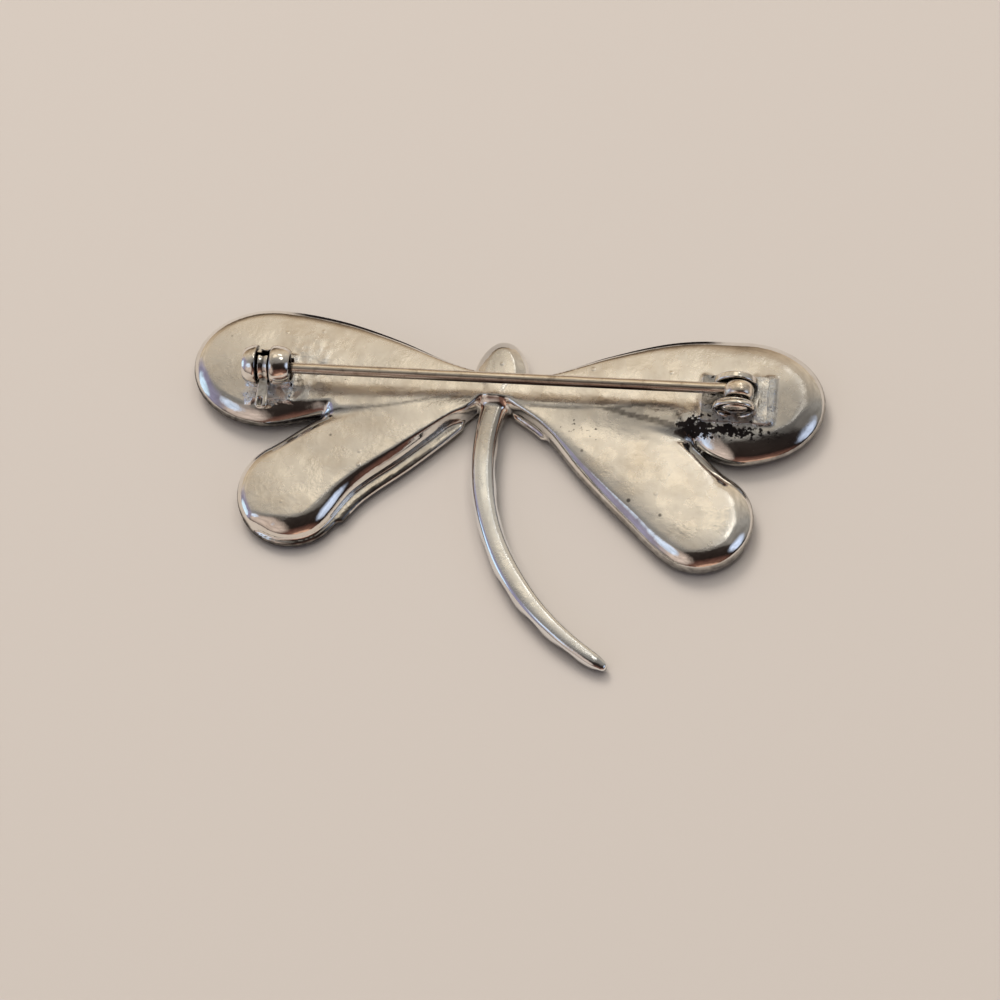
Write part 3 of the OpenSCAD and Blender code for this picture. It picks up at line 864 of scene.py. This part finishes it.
def tab(rows=72):
    """The finger tab: a rounded box section carried along the tab's direction from inside the ring
    to its end, where the section shrinks along a quarter circle. A dent is a bell-shaped drop."""
    t = np.linspace(0, 1, rows)
    reach = TAB_FROM + TAB_REACH * t
    half = 0.55 + 0.1 * step(0.45, 0.75, t)
    thick = 0.36 - 0.05 * step(0.0, 0.5, t) + 0.06 * step(0.6, 0.85, t)
    close = np.sqrt(np.clip(1 - np.clip((reach - 4.25) / 0.45, 0, 1) ** 2, 0, 1))
    start = step(-0.02, 0.03, t)
    u, w = rounded_loop(0.3, 0.6, 7, 15)
    across = (half * close * start)[:, None] * u
    up = (thick * (0.35 + 0.65 * close) * (close > 0) * start)[:, None] * w
    dent = 0.3 * np.exp(-(((across + 0.12) / 0.23) ** 4) - ((reach[:, None] - DENT_AT) / 0.42) ** 4)
    up = up - dent * (w > 0.2)
    direction = np.array([0, math.cos(TAB_TURN), math.sin(TAB_TURN)])
    normal = np.array([0, math.sin(TAB_TURN), -math.cos(TAB_TURN)])
    middle = np.array([GROOVE_X, CATCH[1], CATCH[2]])
    points = middle + reach[:, None, None] * direction + up[..., None] * normal
    points = points + across[..., None] * np.array([1.0, 0, 0])
    return points.reshape(-1, 3), grid_faces(rows, len(u))


rotor = gather([
    gapped_ring(TUBE, 0.8, lambda x: TUBE_R + 0 * x, BARREL_GAP, ROTOR_GAP_TURN, (0.06, 0.3), 72),
    gapped_ring(DISC, 0.95, disc_radius, BARREL_GAP, ROTOR_GAP_TURN, (0.2, 0.25), 96),
    tab(),
])
rotor_piece = mesh_piece("safety_rotor", rotor[0] + BODY, rotor[1], "rotor", "catch_rotor")


def rotor_shade(x, y, z):
    """Dark on the tube, inside the disc, on its flat sides and in the tab's dent."""
    r = from_axis(y, z)
    tube = 1 - step(TUBE_R + 0.05, TUBE_R + 0.2, r)
    sides = step(0.47, 0.52, np.abs(x - GROOVE_X)) * (r < 1.8)
    middle = 0.75 * np.exp(-(((x - GROOVE_X) / 0.2) ** 2)) * (r < 1.8)
    dent = np.exp(-(((x - GROOVE_X + 0.12) / 0.26) ** 4) - ((r - DENT_AT) / 0.42) ** 4)
    return np.maximum(np.maximum(tube, sides), np.maximum(middle, 0.8 * dent))


store(rotor_piece, "dark", rotor_shade)

# %% [markdown]
# ## Round pieces on the rivet's axis
# The ears, the pin's eye and the rivet are all turned shapes about one direction. A turned shape is
# a profile of radius against distance along the axis, carried once round it. The rivet was hammered
# over by hand, so its head is wider than high and a little off its middle.

# %% Turned shapes and their profiles


def turned(middle, profile, around=128, stretch=(1.0, 1.0)):
    """A profile of (distance along Y, radius) points, turned about an axis along Y and stretched
    along X and Z."""
    profile = np.asarray(profile, float)
    a = 2 * math.pi * np.arange(around) / around
    x = stretch[0] * profile[:, 1:] * np.cos(a)
    z = stretch[1] * profile[:, 1:] * np.sin(a)
    y = profile[:, :1] + 0 * a
    points = np.stack([x, y, z], -1) + np.asarray(middle, float)
    return points.reshape(-1, 3), grid_faces(len(profile), around)


def disc_profile(thick, radius, soft, steps=10):
    """Half a section of a disc with rounded edges, from the middle of one face to the middle of the
    other. soft is the edge's radius."""
    half = thick / 2
    a = np.linspace(0, math.pi / 2, steps)
    first = [(-half, share * (radius - soft)) for share in (0, 0.4, 0.8, 0.97)]
    edge = [(-half + soft * (1 - math.cos(b)), radius - soft + soft * math.sin(b)) for b in a]
    far = [(-along, r) for along, r in (first + edge)[::-1]]
    return first + edge + far


def ring_profile(y, inner, outer, tall):
    """Section of a rounded ring that stands on a face: out from its hole, over, and back."""
    a = np.linspace(math.pi, 0, 17)
    middle, half = (inner + outer) / 2, (outer - inner) / 2
    return [(y + 0.3, inner)] + [(y - tall * math.sin(b), middle + half * math.cos(b)) for b in a] + [
        (y + 0.3, outer), (y + 0.3, inner),
    ]

# %% Ears and plates
# The near ear has a sunk face with a raised ring round it. Chips of dirt, painted shade and a
# painted grey cover the joint's plate from its left end to the x given below, and the rest of it is
# plain.
EAR_X = 24.85
EAR_H = 4.4
EAR_R = 2.28
EAR_T = 0.8
EAR_GAP = 2.2
near_y = HINGE[1] - EAR_GAP / 2 - EAR_T / 2
far_y = HINGE[1] + EAR_GAP / 2 + EAR_T / 2
RECESS = 0.24
RECESS_RING = (1.84, 2.2)
FACE = (24.83, 5.1)
FACE_STRETCH = (1.0, 0.74)
face_y = near_y - EAR_T / 2 + RECESS
JOINT_SLAB = ((21.4, 28.15), (-3.3, 2.0))
CATCH_SLAB = ((-25.75, -21.45), (-3.15, 1.95))
SLAB_FOOT = 2.9
DIRT_AND_SHADE_END = 26.8


def slab(box, low, high, soft, seed):
    """A plate with rounded corners and edges: a squarish loop that shrinks over the edge's quarter
    circle and then to the middle, with a slight waviness from hand soldering."""
    (left, right_edge), (near, far) = box
    half_x, half_y = (right_edge - left) / 2, (far - near) / 2
    u, w = rounded_loop(0.25 / half_x, 0.25 / half_y, 7, 40)
    insets = [soft * (1 - math.cos(a)) for a in np.linspace(0, math.pi / 2, 8)]
    heights = [high - soft * (1 - math.sin(a)) for a in np.linspace(0, math.pi / 2, 8)]
    layers = [(s, 0.0, low) for s in (0.0, 0.5, 1.0)]
    layers += [(1.0, inset, z) for inset, z in zip(insets, heights)]
    layers += [(s, soft, high) for s in np.linspace(0.92, 0.0, 14)]
    rows = []
    for share, inset, z in layers:
        x = (left + right_edge) / 2 + u * (half_x - inset) * share
        y = (near + far) / 2 + w * (half_y - inset) * share
        wavy = 0.035 * waves(x, y, 1.8, 10, seed)
        rows.append(np.stack([x + wavy, y + wavy, z + 0.7 * wavy * (z > low)], -1))
    points = np.stack(rows)
    return points.reshape(-1, 3), grid_faces(len(rows), len(u))


ears = gather([
    turned((EAR_X, near_y + RECESS / 2, EAR_H), disc_profile(EAR_T - RECESS, EAR_R, 0.16)),
    turned((FACE[0], 0, FACE[1]), ring_profile(face_y, *RECESS_RING, RECESS + 0.03), 128, FACE_STRETCH),
    turned((EAR_X, far_y, EAR_H), disc_profile(EAR_T, EAR_R, 0.2)),
])
ears_piece = mesh_piece("joint_ears", ears[0] + BODY, ears[1], "brooch", "casting")

plates = gather([
    slab(JOINT_SLAB, SLAB_FOOT, 3.74, 0.12, 21),
    slab(CATCH_SLAB, SLAB_FOOT, 3.58, 0.1, 22),
])
plates_piece = mesh_piece("base_plates", plates[0] + BODY, plates[1], "brooch", "casting")


def joint_shade(x, y, z):
    """Dark in the recess round the rivet's head and on the ears' inner faces."""
    off = np.hypot(x - FACE[0], (z - FACE[1]) / FACE_STRETCH[1])
    recess = (1 - step(1.80, 1.90, off)) * (y < near_y)
    inner = step(near_y + EAR_T / 2 - 0.06, near_y + EAR_T / 2, y) * (1 - step(far_y - 0.4, far_y - 0.3, y))
    return np.maximum(recess, 0.8 * inner)


store(ears_piece, "dark", joint_shade)
# The joint's plate: chips of dirt, with painted shade and a painted grey near the ears.
for mark, weight in (("chips", 0.40), ("dark", 0.3), ("dull", 0.8)):
    store(plates_piece, mark, lambda x, y, z: weight * (x > 0) * (x < DIRT_AND_SHADE_END))
store(plates_piece, "solder", lambda x, y, z: 0.35 + 0.65 * step(-0.2, 0.6, waves(x, y, 1.6, 12, 31)))

# %% Rivet
# Its hammered head is on the near ear and its plain end on the far one.
HEAD_AT = (24.9, 5.2)
HEAD_R = 1.32
HEAD_RISE = 0.36
END_R = 0.95
END_RISE = 0.27
SHANK_R = 0.5
shank_end = HINGE[1] + EAR_GAP / 2 + EAR_T


def dome(y, radius, tall, side, steps=16):
    """Profile of a low dome: a quarter of an ellipse from the edge on the face to its top."""
    a = np.linspace(0, math.pi / 2, steps)
    return [(y + side * tall * math.sin(b), radius * math.cos(b)) for b in a]


near_dome = dome(face_y, HEAD_R, HEAD_RISE, -1)[::-1] + [(face_y + 0.2, 1.2), (face_y + 0.2, 0.0)]
shank = [(face_y - 0.1, 0.0), (face_y - 0.1, SHANK_R), (shank_end - 0.1, SHANK_R)]
rivet = gather([
    turned((HEAD_AT[0], 0, HEAD_AT[1]), near_dome, 96, (1.0, 0.68)),
    turned((HINGE[0], 0, PIN_H), shank + dome(shank_end - 0.02, END_R, END_RISE, 1), 96),
])
rivet_piece = mesh_piece("rivet", rivet[0] + BODY, rivet[1], "brooch", "hinge_rivet")

# %% [markdown]
# ## The pin
# The pin is one wire. Its end is bent into an eye round the rivet, and it tapers to a point in the
# catch. The stem is a circle carried along the pin with a radius that changes on the way. The eye is
# a ring of an oval section, with the rivet's hole in it.

# %% Pin
EYE_R = 1.54
EYE_HOLE = 0.56
EYE_HALF = 0.82
STEM_R = 0.575
POINT_R = 0.09
POINT_X = -25.8
TAPER = 5.4
FLARE_X = 22.2


def stem(rows=220, around=48):
    """The stem from its point to inside the eye: the radius grows along the taper, stays, and
    grows a little again before the eye."""
    x = np.concatenate([
        np.linspace(POINT_X, POINT_X + TAPER, 40),
        np.linspace(POINT_X + TAPER + 0.2, FLARE_X - 0.2, rows - 70),
        np.linspace(FLARE_X, 24.2, 30),
    ])
    taper = POINT_R + (STEM_R - POINT_R) * step(-0.15, 1.0, (x - POINT_X) / TAPER)
    r = np.minimum(taper, STEM_R) + 0.09 * step(FLARE_X, 24.0, x)
    r[0] = 0.0
    r[-1] = 0.0
    a = -2 * math.pi * np.arange(around) / around
    y = PIN_Y + r[:, None] * np.cos(a)
    z = PIN_H + r[:, None] * np.sin(a)
    points = np.stack([x[:, None] + 0 * y, y, z], -1)
    return points.reshape(-1, 3), grid_faces(len(x), around)


def eye_profile(count=40):
    """Section of the eye: a squarish oval round the middle of the wire."""
    a = 2 * math.pi * np.arange(count + 1) / count
    c, s = np.cos(a), np.sin(a)
    along = EYE_HALF * np.sign(s) * np.abs(s) ** 0.8
    out = (EYE_R + EYE_HOLE) / 2 + (EYE_R - EYE_HOLE) / 2 * np.sign(c) * np.abs(c) ** 0.8
    return np.stack([along, out], -1)


pin = gather([stem(), turned(HINGE, eye_profile())])
pin_piece = mesh_piece("pin", pin[0] + BODY, pin[1], "pin", "pin_stem")


def pin_shade(x, y, z):
    """Painted shade along the stem's lower front, most beside the body."""
    turn_up = np.degrees(np.arctan2(z - PIN_H, PIN_Y - y))
    low_front = step(-45.0, -30.0, turn_up) * (1 - step(24.0, 42.0, turn_up)) * (x < 22.0)
    return low_front * (0.4 + 0.5 * step(-9.0, -3.0, x) * (1 - step(14.0, 19.0, x)))


store(pin_piece, "dark", pin_shade)

# %% [markdown]
# ## Shader maths as plain sums
# A node tree is hard to read as a drawing. This class wraps a socket, so that a sum or product of
# sockets in Python adds the Math nodes. Every other node comes from one method.

# %% Sockets that add up


class Flow:
    """A socket of a material's node tree that can be used in sums and products."""

    def __init__(self, tree, socket):
        self.tree = tree
        self.socket = socket

    def node(self, kind, settings=None, inputs=None, output=0):
        """Adds a node: its settings first, then the values or links of its sockets."""
        made = self.tree.nodes.new(kind)
        for name, value in (settings or {}).items():
            if name == "stops":
                elements = made.color_ramp.elements
                for place, colour in value[1:-1]:
                    elements.new(place).color = (*colour, 1.0)
                elements[0].color = (*value[0][1], 1.0)
                elements[len(value) - 1].color = (*value[-1][1], 1.0)
            else:
                setattr(made, name, value)
        for name, value in (inputs or {}).items():
            if isinstance(value, Flow):
                self.tree.links.new(value.socket, made.inputs[name])
            else:
                made.inputs[name].default_value = value
        return Flow(self.tree, made.outputs[output])

    def maths(self, operation, first, second=0.0):
        """A Math node of two numbers or flows."""
        return self.node("ShaderNodeMath", {"operation": operation}, {0: first, 1: second})

    def __add__(self, other):
        return self.maths("ADD", self, other)

    def __sub__(self, other):
        return self.maths("SUBTRACT", self, other)

    def __rsub__(self, other):
        return self.maths("SUBTRACT", other, self)

    def __mul__(self, other):
        return self.maths("MULTIPLY", self, other)

    __radd__ = __add__
    __rmul__ = __mul__

    def ramp(self, low, high):
        """0 where the flow is low, 1 where it is high, and smooth between."""
        settings = {"interpolation_type": "SMOOTHSTEP"}
        return self.node("ShaderNodeMapRange", settings, {0: self, 1: low, 2: high})

    def mix(self, first, second):
        """The first colour where the flow is 0 and the second where it is 1."""
        settings = {"data_type": "RGBA"}
        return self.node("ShaderNodeMix", settings, {0: self, 6: first, 7: second}, 2)

    def noise(self, scale, detail=2.0, rough=0.5):
        """Noise over this vector, with scale in lumps per metre."""
        inputs = {"Vector": self, "Scale": scale, "Detail": detail, "Roughness": rough}
        return self.node("ShaderNodeTexNoise", None, inputs)

    def stored(self, mark):
        """A mark that is stored on the mesh's points."""
        return self.node("ShaderNodeAttribute", {"attribute_name": mark}, None, 2)

# %% An empty metal and its helpers


def metal(name):
    """An empty metal material: its shader node and its Object coordinates."""
    material = bpy.data.materials.new(name)
    material.use_nodes = True
    tree = material.node_tree
    shader = tree.nodes["Principled BSDF"]
    shader.inputs["Metallic"].default_value = 1.0
    coordinates = tree.nodes.new("ShaderNodeTexCoord")
    return material, shader, Flow(tree, coordinates.outputs["Object"])


def connect(flow, shader, socket):
    """Links a flow to a shader's socket."""
    flow.tree.links.new(flow.socket, shader.inputs[socket])


def bump(height, distance, under=None):
    """A Bump node whose height, from 0 to 1, stands for a real distance in metres."""
    inputs = {"Height": height, "Distance": distance, "Strength": 1.0}
    if under is not None:
        inputs["Normal"] = under
    return height.node("ShaderNodeBump", None, inputs)


print("named methods of Flow:", ", ".join(name for name in vars(Flow) if name.isalpha()))

# %% [markdown]
# ## The metals
# The casting is bright plating over a slightly rough casting. Its flats are a little rough, so that
# they blur what they reflect, and where it rolls over an edge it is rubbed smooth. A fine grain
# bends the reflections a little everywhere and more in patches. Where solder lies the surface is
# whiter and chippy. Some light and shade is painted into the colour: a grey for darker reflections
# and shade, a bluish white sheen for bright reflections, and brown for shade. A second, matt black
# shader is mixed in where chips of dirt are and where shade is painted along crevices, rims and
# undersides, so that these stay black at any angle.

# %% Colours and pits
CLEAN = (0.91, 0.885, 0.84, 1)
TARNISHED = (0.77, 0.72, 0.65, 1)
# A grey painted in for darker reflections and shade.
REFLECTION_GREY = (0.33, 0.325, 0.325, 1)
# Black for chips of dirt and for painted shade.
DIRT_AND_SHADE_BLACK = (0.012, 0.010, 0.010, 1)
# White for solder, also painted as a bluish sheen for bright reflections.
SOLDER_AND_SHEEN = (0.84, 0.88, 0.92, 1)
# Brown for painted shade.
SHADE_BROWN = (0.10, 0.07, 0.05, 1)
BRIGHT = (0.88, 0.85, 0.80, 1)
STAINED = (0.55, 0.48, 0.40, 1)
SHADED = (0.03, 0.022, 0.02, 1)
WIRE = (0.95, 0.88, 0.77, 1)
DRAWN_LINE = (0.72, 0.62, 0.51, 1)
WIRE_STAIN = (0.30, 0.23, 0.18, 1)
# Black for painted shade on the pin.
WIRE_SHADE = (0.045, 0.025, 0.02, 1)
PITS = ((-28.5, 4.2), (-16.4, -6.9), (9.7, -7.2), (14.9, -12.5), (18.2, -14.0))
PIT_H = 3.1
print("pits in the casting's back:", len(PITS))

# %% Silver-tone casting


def pit(place, x, y):
    """1 in a small round pit of the casting's back, 0 outside."""
    middle = ((x + BODY[0]) * MM, (y + BODY[1]) * MM, PIT_H * MM)
    away = place.node("ShaderNodeVectorMath", {"operation": "DISTANCE"}, {0: place, 1: middle}, 1)
    return 1 - away.ramp(0.12 * MM, 0.30 * MM)


def cast_metal():
    """The casting's metal. Its colour goes from clean to tarnished, to a painted grey for darker
    reflections and shade, to a painted bluish sheen and to brown painted shade; its bumps are a
    slow wobble, a fine grain, a few specks and, on solder, splinters."""
    material, shader, place = metal("cast_silver_tone")
    solder, dirt, dull = place.stored("solder"), place.stored("chips"), place.stored("dull")
    dark, rolls = place.stored("dark"), place.stored("rolls")
    grain = place.noise(2600.0, 3.0, 0.65)
    patches = place.noise(300.0, 3.0, 0.6).ramp(0.42, 0.62)
    tarnish = place.noise(230.0, 4.0, 0.6).ramp(0.4, 0.75)
    chips = (place.noise(2100.0, 3.0, 0.6) + dirt * 0.40).ramp(0.72, 0.80)
    for x, y in PITS:
        chips = chips.maths("MAXIMUM", chips, pit(place, x, y) * 0.8)
    colour = tarnish.mix(CLEAN, TARNISHED)
    # A grey painted over patches, standing for darker reflections and shade.
    colour = (dull * 0.85).mix(colour, REFLECTION_GREY)
    # White where solder lies, and a painted bluish sheen where the pale mark is.
    colour = (solder * 0.8).maths("MAXIMUM", solder * 0.8, place.stored("pale")).mix(colour, SOLDER_AND_SHEEN)
    # Brown painted shade where the dark mark is.
    connect((dark * 0.6).mix(colour, SHADE_BROWN), shader, "Base Color")
    rough = 0.05 + (0.17 + 0.13 * place.noise(520.0, 3.0).ramp(0.35, 0.7)) * (1 - 0.92 * rolls)
    connect(rough + 0.12 * solder, shader, "Roughness")
    wobble = bump(place.noise(520.0, 2.0), 0.00003)
    fine = bump(grain * (0.25 + 0.75 * patches) * (1 - 0.8 * rolls), 0.000032, wobble)
    cells = {"Vector": place, "Scale": 520.0}
    seeds = place.node("ShaderNodeTexVoronoi", {"feature": "F1"}, cells)
    lots = place.node("ShaderNodeTexVoronoi", {"feature": "F1"}, cells, 1)
    picked = place.node("ShaderNodeSeparateColor", None, {0: lots}).ramp(0.74, 0.78)
    specks = bump((1 - seeds.ramp(0.05, 0.16)) * picked * (1 - rolls), 0.00004, fine)
    splinter = bump(place.noise(2300.0, 3.0, 0.65) * solder, 0.00022, specks)
    connect(splinter, shader, "Normal")
    # A matt black shader for chips of dirt and for painted shade.
    inputs = {"Base Color": DIRT_AND_SHADE_BLACK, "Roughness": 0.7, "Specular IOR Level": 0.0}
    dirt_and_shade = place.node("ShaderNodeBsdfPrincipled", None, inputs)
    # Painted shade: black where the dark mark is strong.
    painted_shade_share = (dark * 1.25 + place.noise(1700.0, 2.0) * 0.5 - 0.32).ramp(0.0, 1.0)
    amount = chips.maths("MAXIMUM", chips, painted_shade_share)
    metal_flow = Flow(place.tree, shader.outputs[0])
    mixed = amount.node("ShaderNodeMixShader", None, {0: amount, 1: metal_flow, 2: dirt_and_shade})
    connect(mixed, place.tree.nodes["Material Output"], "Surface")
    return material

# %% Findings and wire


def fitting_metal():
    """The findings: turned and drawn metal with fine scratches round it."""
    material, shader, place = metal("bright_findings")
    grain = place.noise(2600.0, 3.0, 0.6)
    stain = place.noise(650.0, 3.0, 0.6).ramp(0.45, 0.75)
    colour = stain.mix(BRIGHT, STAINED)
    connect((place.stored("dark") * 0.97).mix(colour, SHADED), shader, "Base Color")
    connect(0.06 + 0.10 * grain, shader, "Roughness")
    connect(bump(grain, 0.000010), shader, "Normal")
    return material


def wire_metal():
    """The pin: drawn wire with lines along it, brown stains, and painted shade where its mark says so."""
    material, shader, place = metal("drawn_wire")
    stretched = place.node("ShaderNodeMapping", None, {"Vector": place, "Scale": (0.06, 1.0, 1.0)})
    lines = stretched.noise(7000.0, 3.0)
    stain = place.noise(900.0, 3.0, 0.6).ramp(0.5, 0.75)
    colour = lines.ramp(0.3, 0.75).mix(WIRE, DRAWN_LINE)
    colour = (stain * 0.5).mix(colour, WIRE_STAIN)
    # Painted shade: black where the pin's dark mark lies.
    painted_shade_share = (place.stored("dark") + stretched.noise(1800.0, 2.0) * 0.5 - 0.25).ramp(0.0, 1.0)
    connect(painted_shade_share.mix(colour, WIRE_SHADE), shader, "Base Color")
    connect(0.17 + 0.12 * lines, shader, "Roughness")
    connect(bump(lines, 0.000008), shader, "Normal")
    return material


casting_finish = cast_metal()
fitting_finish = fitting_metal()
wire_finish = wire_metal()
body_piece.data.materials.append(casting_finish)
plates_piece.data.materials.append(casting_finish)
for piece in (lobes_piece, ears_piece, rivet_piece, rotor_piece):
    piece.data.materials.append(fitting_finish)
pin_piece.data.materials.append(wire_finish)
print("finishes:", ", ".join(finish.name for finish in (casting_finish, fitting_finish, wire_finish)))

# %% [markdown]
# ## Floor and light
# A polished metal shows what is around it more than its own colour. So most of the work is in the
# room: a world that says for each direction how bright it is. One ramp runs over the top from the
# back horizon to the front one, with a dark zone on the camera's side, and a few soft windows are
# added to it. Two lamps that the metal doesn't show give the floor its light and soft shadows.

# %% Floor
FLOOR_SIZE = 3.0
corners = [(sx * FLOOR_SIZE, sy * FLOOR_SIZE, 0) for sx, sy in ((-1, -1), (1, -1), (1, 1), (-1, 1))]
floor_mesh = bpy.data.meshes.new("floor")
floor_mesh.from_pydata(corners, [], [(0, 1, 2, 3)])
floor = bpy.data.objects.new("floor", floor_mesh)
bpy.context.scene.collection.objects.link(floor)
floor_material = bpy.data.materials.new("pale_floor")
floor_material.use_nodes = True
floor_shader = floor_material.node_tree.nodes["Principled BSDF"]
floor_shader.inputs["Base Color"].default_value = (0.56, 0.52, 0.485, 1)
floor_shader.inputs["Roughness"].default_value = 0.9
floor_mesh.materials.append(floor_material)
print("the floor is", 2 * FLOOR_SIZE, "m wide")

# %% Lamps


def toward(azimuth, elevation):
    """A direction from the brooch, in degrees: azimuth from the front towards the right."""
    a, e = math.radians(azimuth), math.radians(elevation)
    return (math.sin(a) * math.cos(e), -math.cos(a) * math.cos(e), math.sin(e))


def soft_box(name, azimuth, elevation, distance, size, power, colour):
    """A square lamp at a direction from the brooch that faces it. It casts light and shadow but
    isn't seen in the metal, where the world's windows are."""
    away = Vector(toward(azimuth, elevation))
    data = bpy.data.lights.new(name, "AREA")
    data.shape = "SQUARE"
    data.size = size
    data.energy = power
    data.color = colour
    lamp = bpy.data.objects.new(name, data)
    lamp.location = away * distance
    lamp.rotation_mode = "QUATERNION"
    lamp.rotation_quaternion = away.to_track_quat("Z", "Y")
    lamp.visible_glossy = False
    bpy.context.scene.collection.objects.link(lamp)


soft_box("key", 205, 48, 1.2, 0.45, 7.2, (1.0, 0.93, 0.86))
soft_box("overhead", 190, 78, 1.6, 1.8, 15.0, (1.0, 0.97, 0.93))

print("lamps:", ", ".join(light.name for light in bpy.data.lights))

# %% Room
world = bpy.data.worlds.new("room")
bpy.context.scene.world = world
world.use_nodes = True
tree = world.node_tree
sky = Flow(tree, tree.nodes.new("ShaderNodeTexCoord").outputs["Generated"])


def facing(azimuth, elevation):
    """The cosine of the angle to a direction."""
    inputs = {0: sky, 1: toward(azimuth, elevation)}
    return sky.node("ShaderNodeVectorMath", {"operation": "DOT_PRODUCT"}, inputs, 1)


def spot(azimuth, elevation, inner, outer):
    """1 within inner degrees of a direction, 0 beyond outer degrees."""
    return facing(azimuth, elevation).ramp(math.cos(math.radians(outer)), math.cos(math.radians(inner)))


# Along the arch from the back horizon, 0, over the top to the front one, 1: linear colours.
ARCH = [
    (0.000, (0.10, 0.075, 0.05)),
    (0.010, (0.13, 0.09, 0.06)),
    (0.045, (0.46, 0.35, 0.24)),
    (0.120, (0.66, 0.545, 0.41)),
    (0.245, (0.57, 0.50, 0.41)),
    (0.330, (0.46, 0.415, 0.355)),
    (0.440, (0.29, 0.275, 0.255)),
    (0.620, (0.20, 0.185, 0.17)),
    (0.680, (0.035, 0.028, 0.025)),
    (0.870, (0.022, 0.015, 0.013)),
    (0.925, (0.12, 0.058, 0.045)),
    (0.970, (0.19, 0.10, 0.075)),
    (0.985, (0.66, 0.40, 0.29)),
    (0.998, (0.75, 0.48, 0.36)),
    (1.000, (0.45, 0.33, 0.27)),
]
along_arch = facing(17.5, 0) * 0.5 + 0.5
arch = along_arch.node("ShaderNodeValToRGB", {"stops": ARCH}, {0: along_arch})
# Each window: azimuth, elevation, half widths of its bright middle and of its faded edge in
# degrees, and its linear colour.
WINDOWS = (
    (322, 28, 10, 32, (0.60, 0.49, 0.43)),
    (187.4, 62.3, 4, 14, (1.06, 0.935, 0.745)),
    (276, 14, 14, 34, (0.30, 0.28, 0.40)),
    (273, 10, 8, 15, (0.80, 1.05, 1.30)),
    (305, 38, 5, 14, (0.72, 0.84, 1.05)),
    (78, 26, 6, 20, (0.70, 0.82, 1.08)),
    (162, 49, 3, 8, (2.2, 2.1, 1.9)),
    (130, 63, 3, 9, (2.2, 2.1, 1.9)),
)
room = arch
for azimuth, elevation, inner, outer, colour in WINDOWS:
    room = spot(azimuth, elevation, inner, outer).mix(room, (*colour, 1))
clutter = sky.noise(7.0, 3.0, 0.6).ramp(0.3, 0.7) * 0.36 + 0.82
background = tree.nodes["Background"]
tree.links.new(room.socket, background.inputs["Color"])
tree.links.new(clutter.socket, background.inputs["Strength"])
bpy.context.scene.view_settings.view_transform = "Standard"
print("windows in the room:", len(WINDOWS))
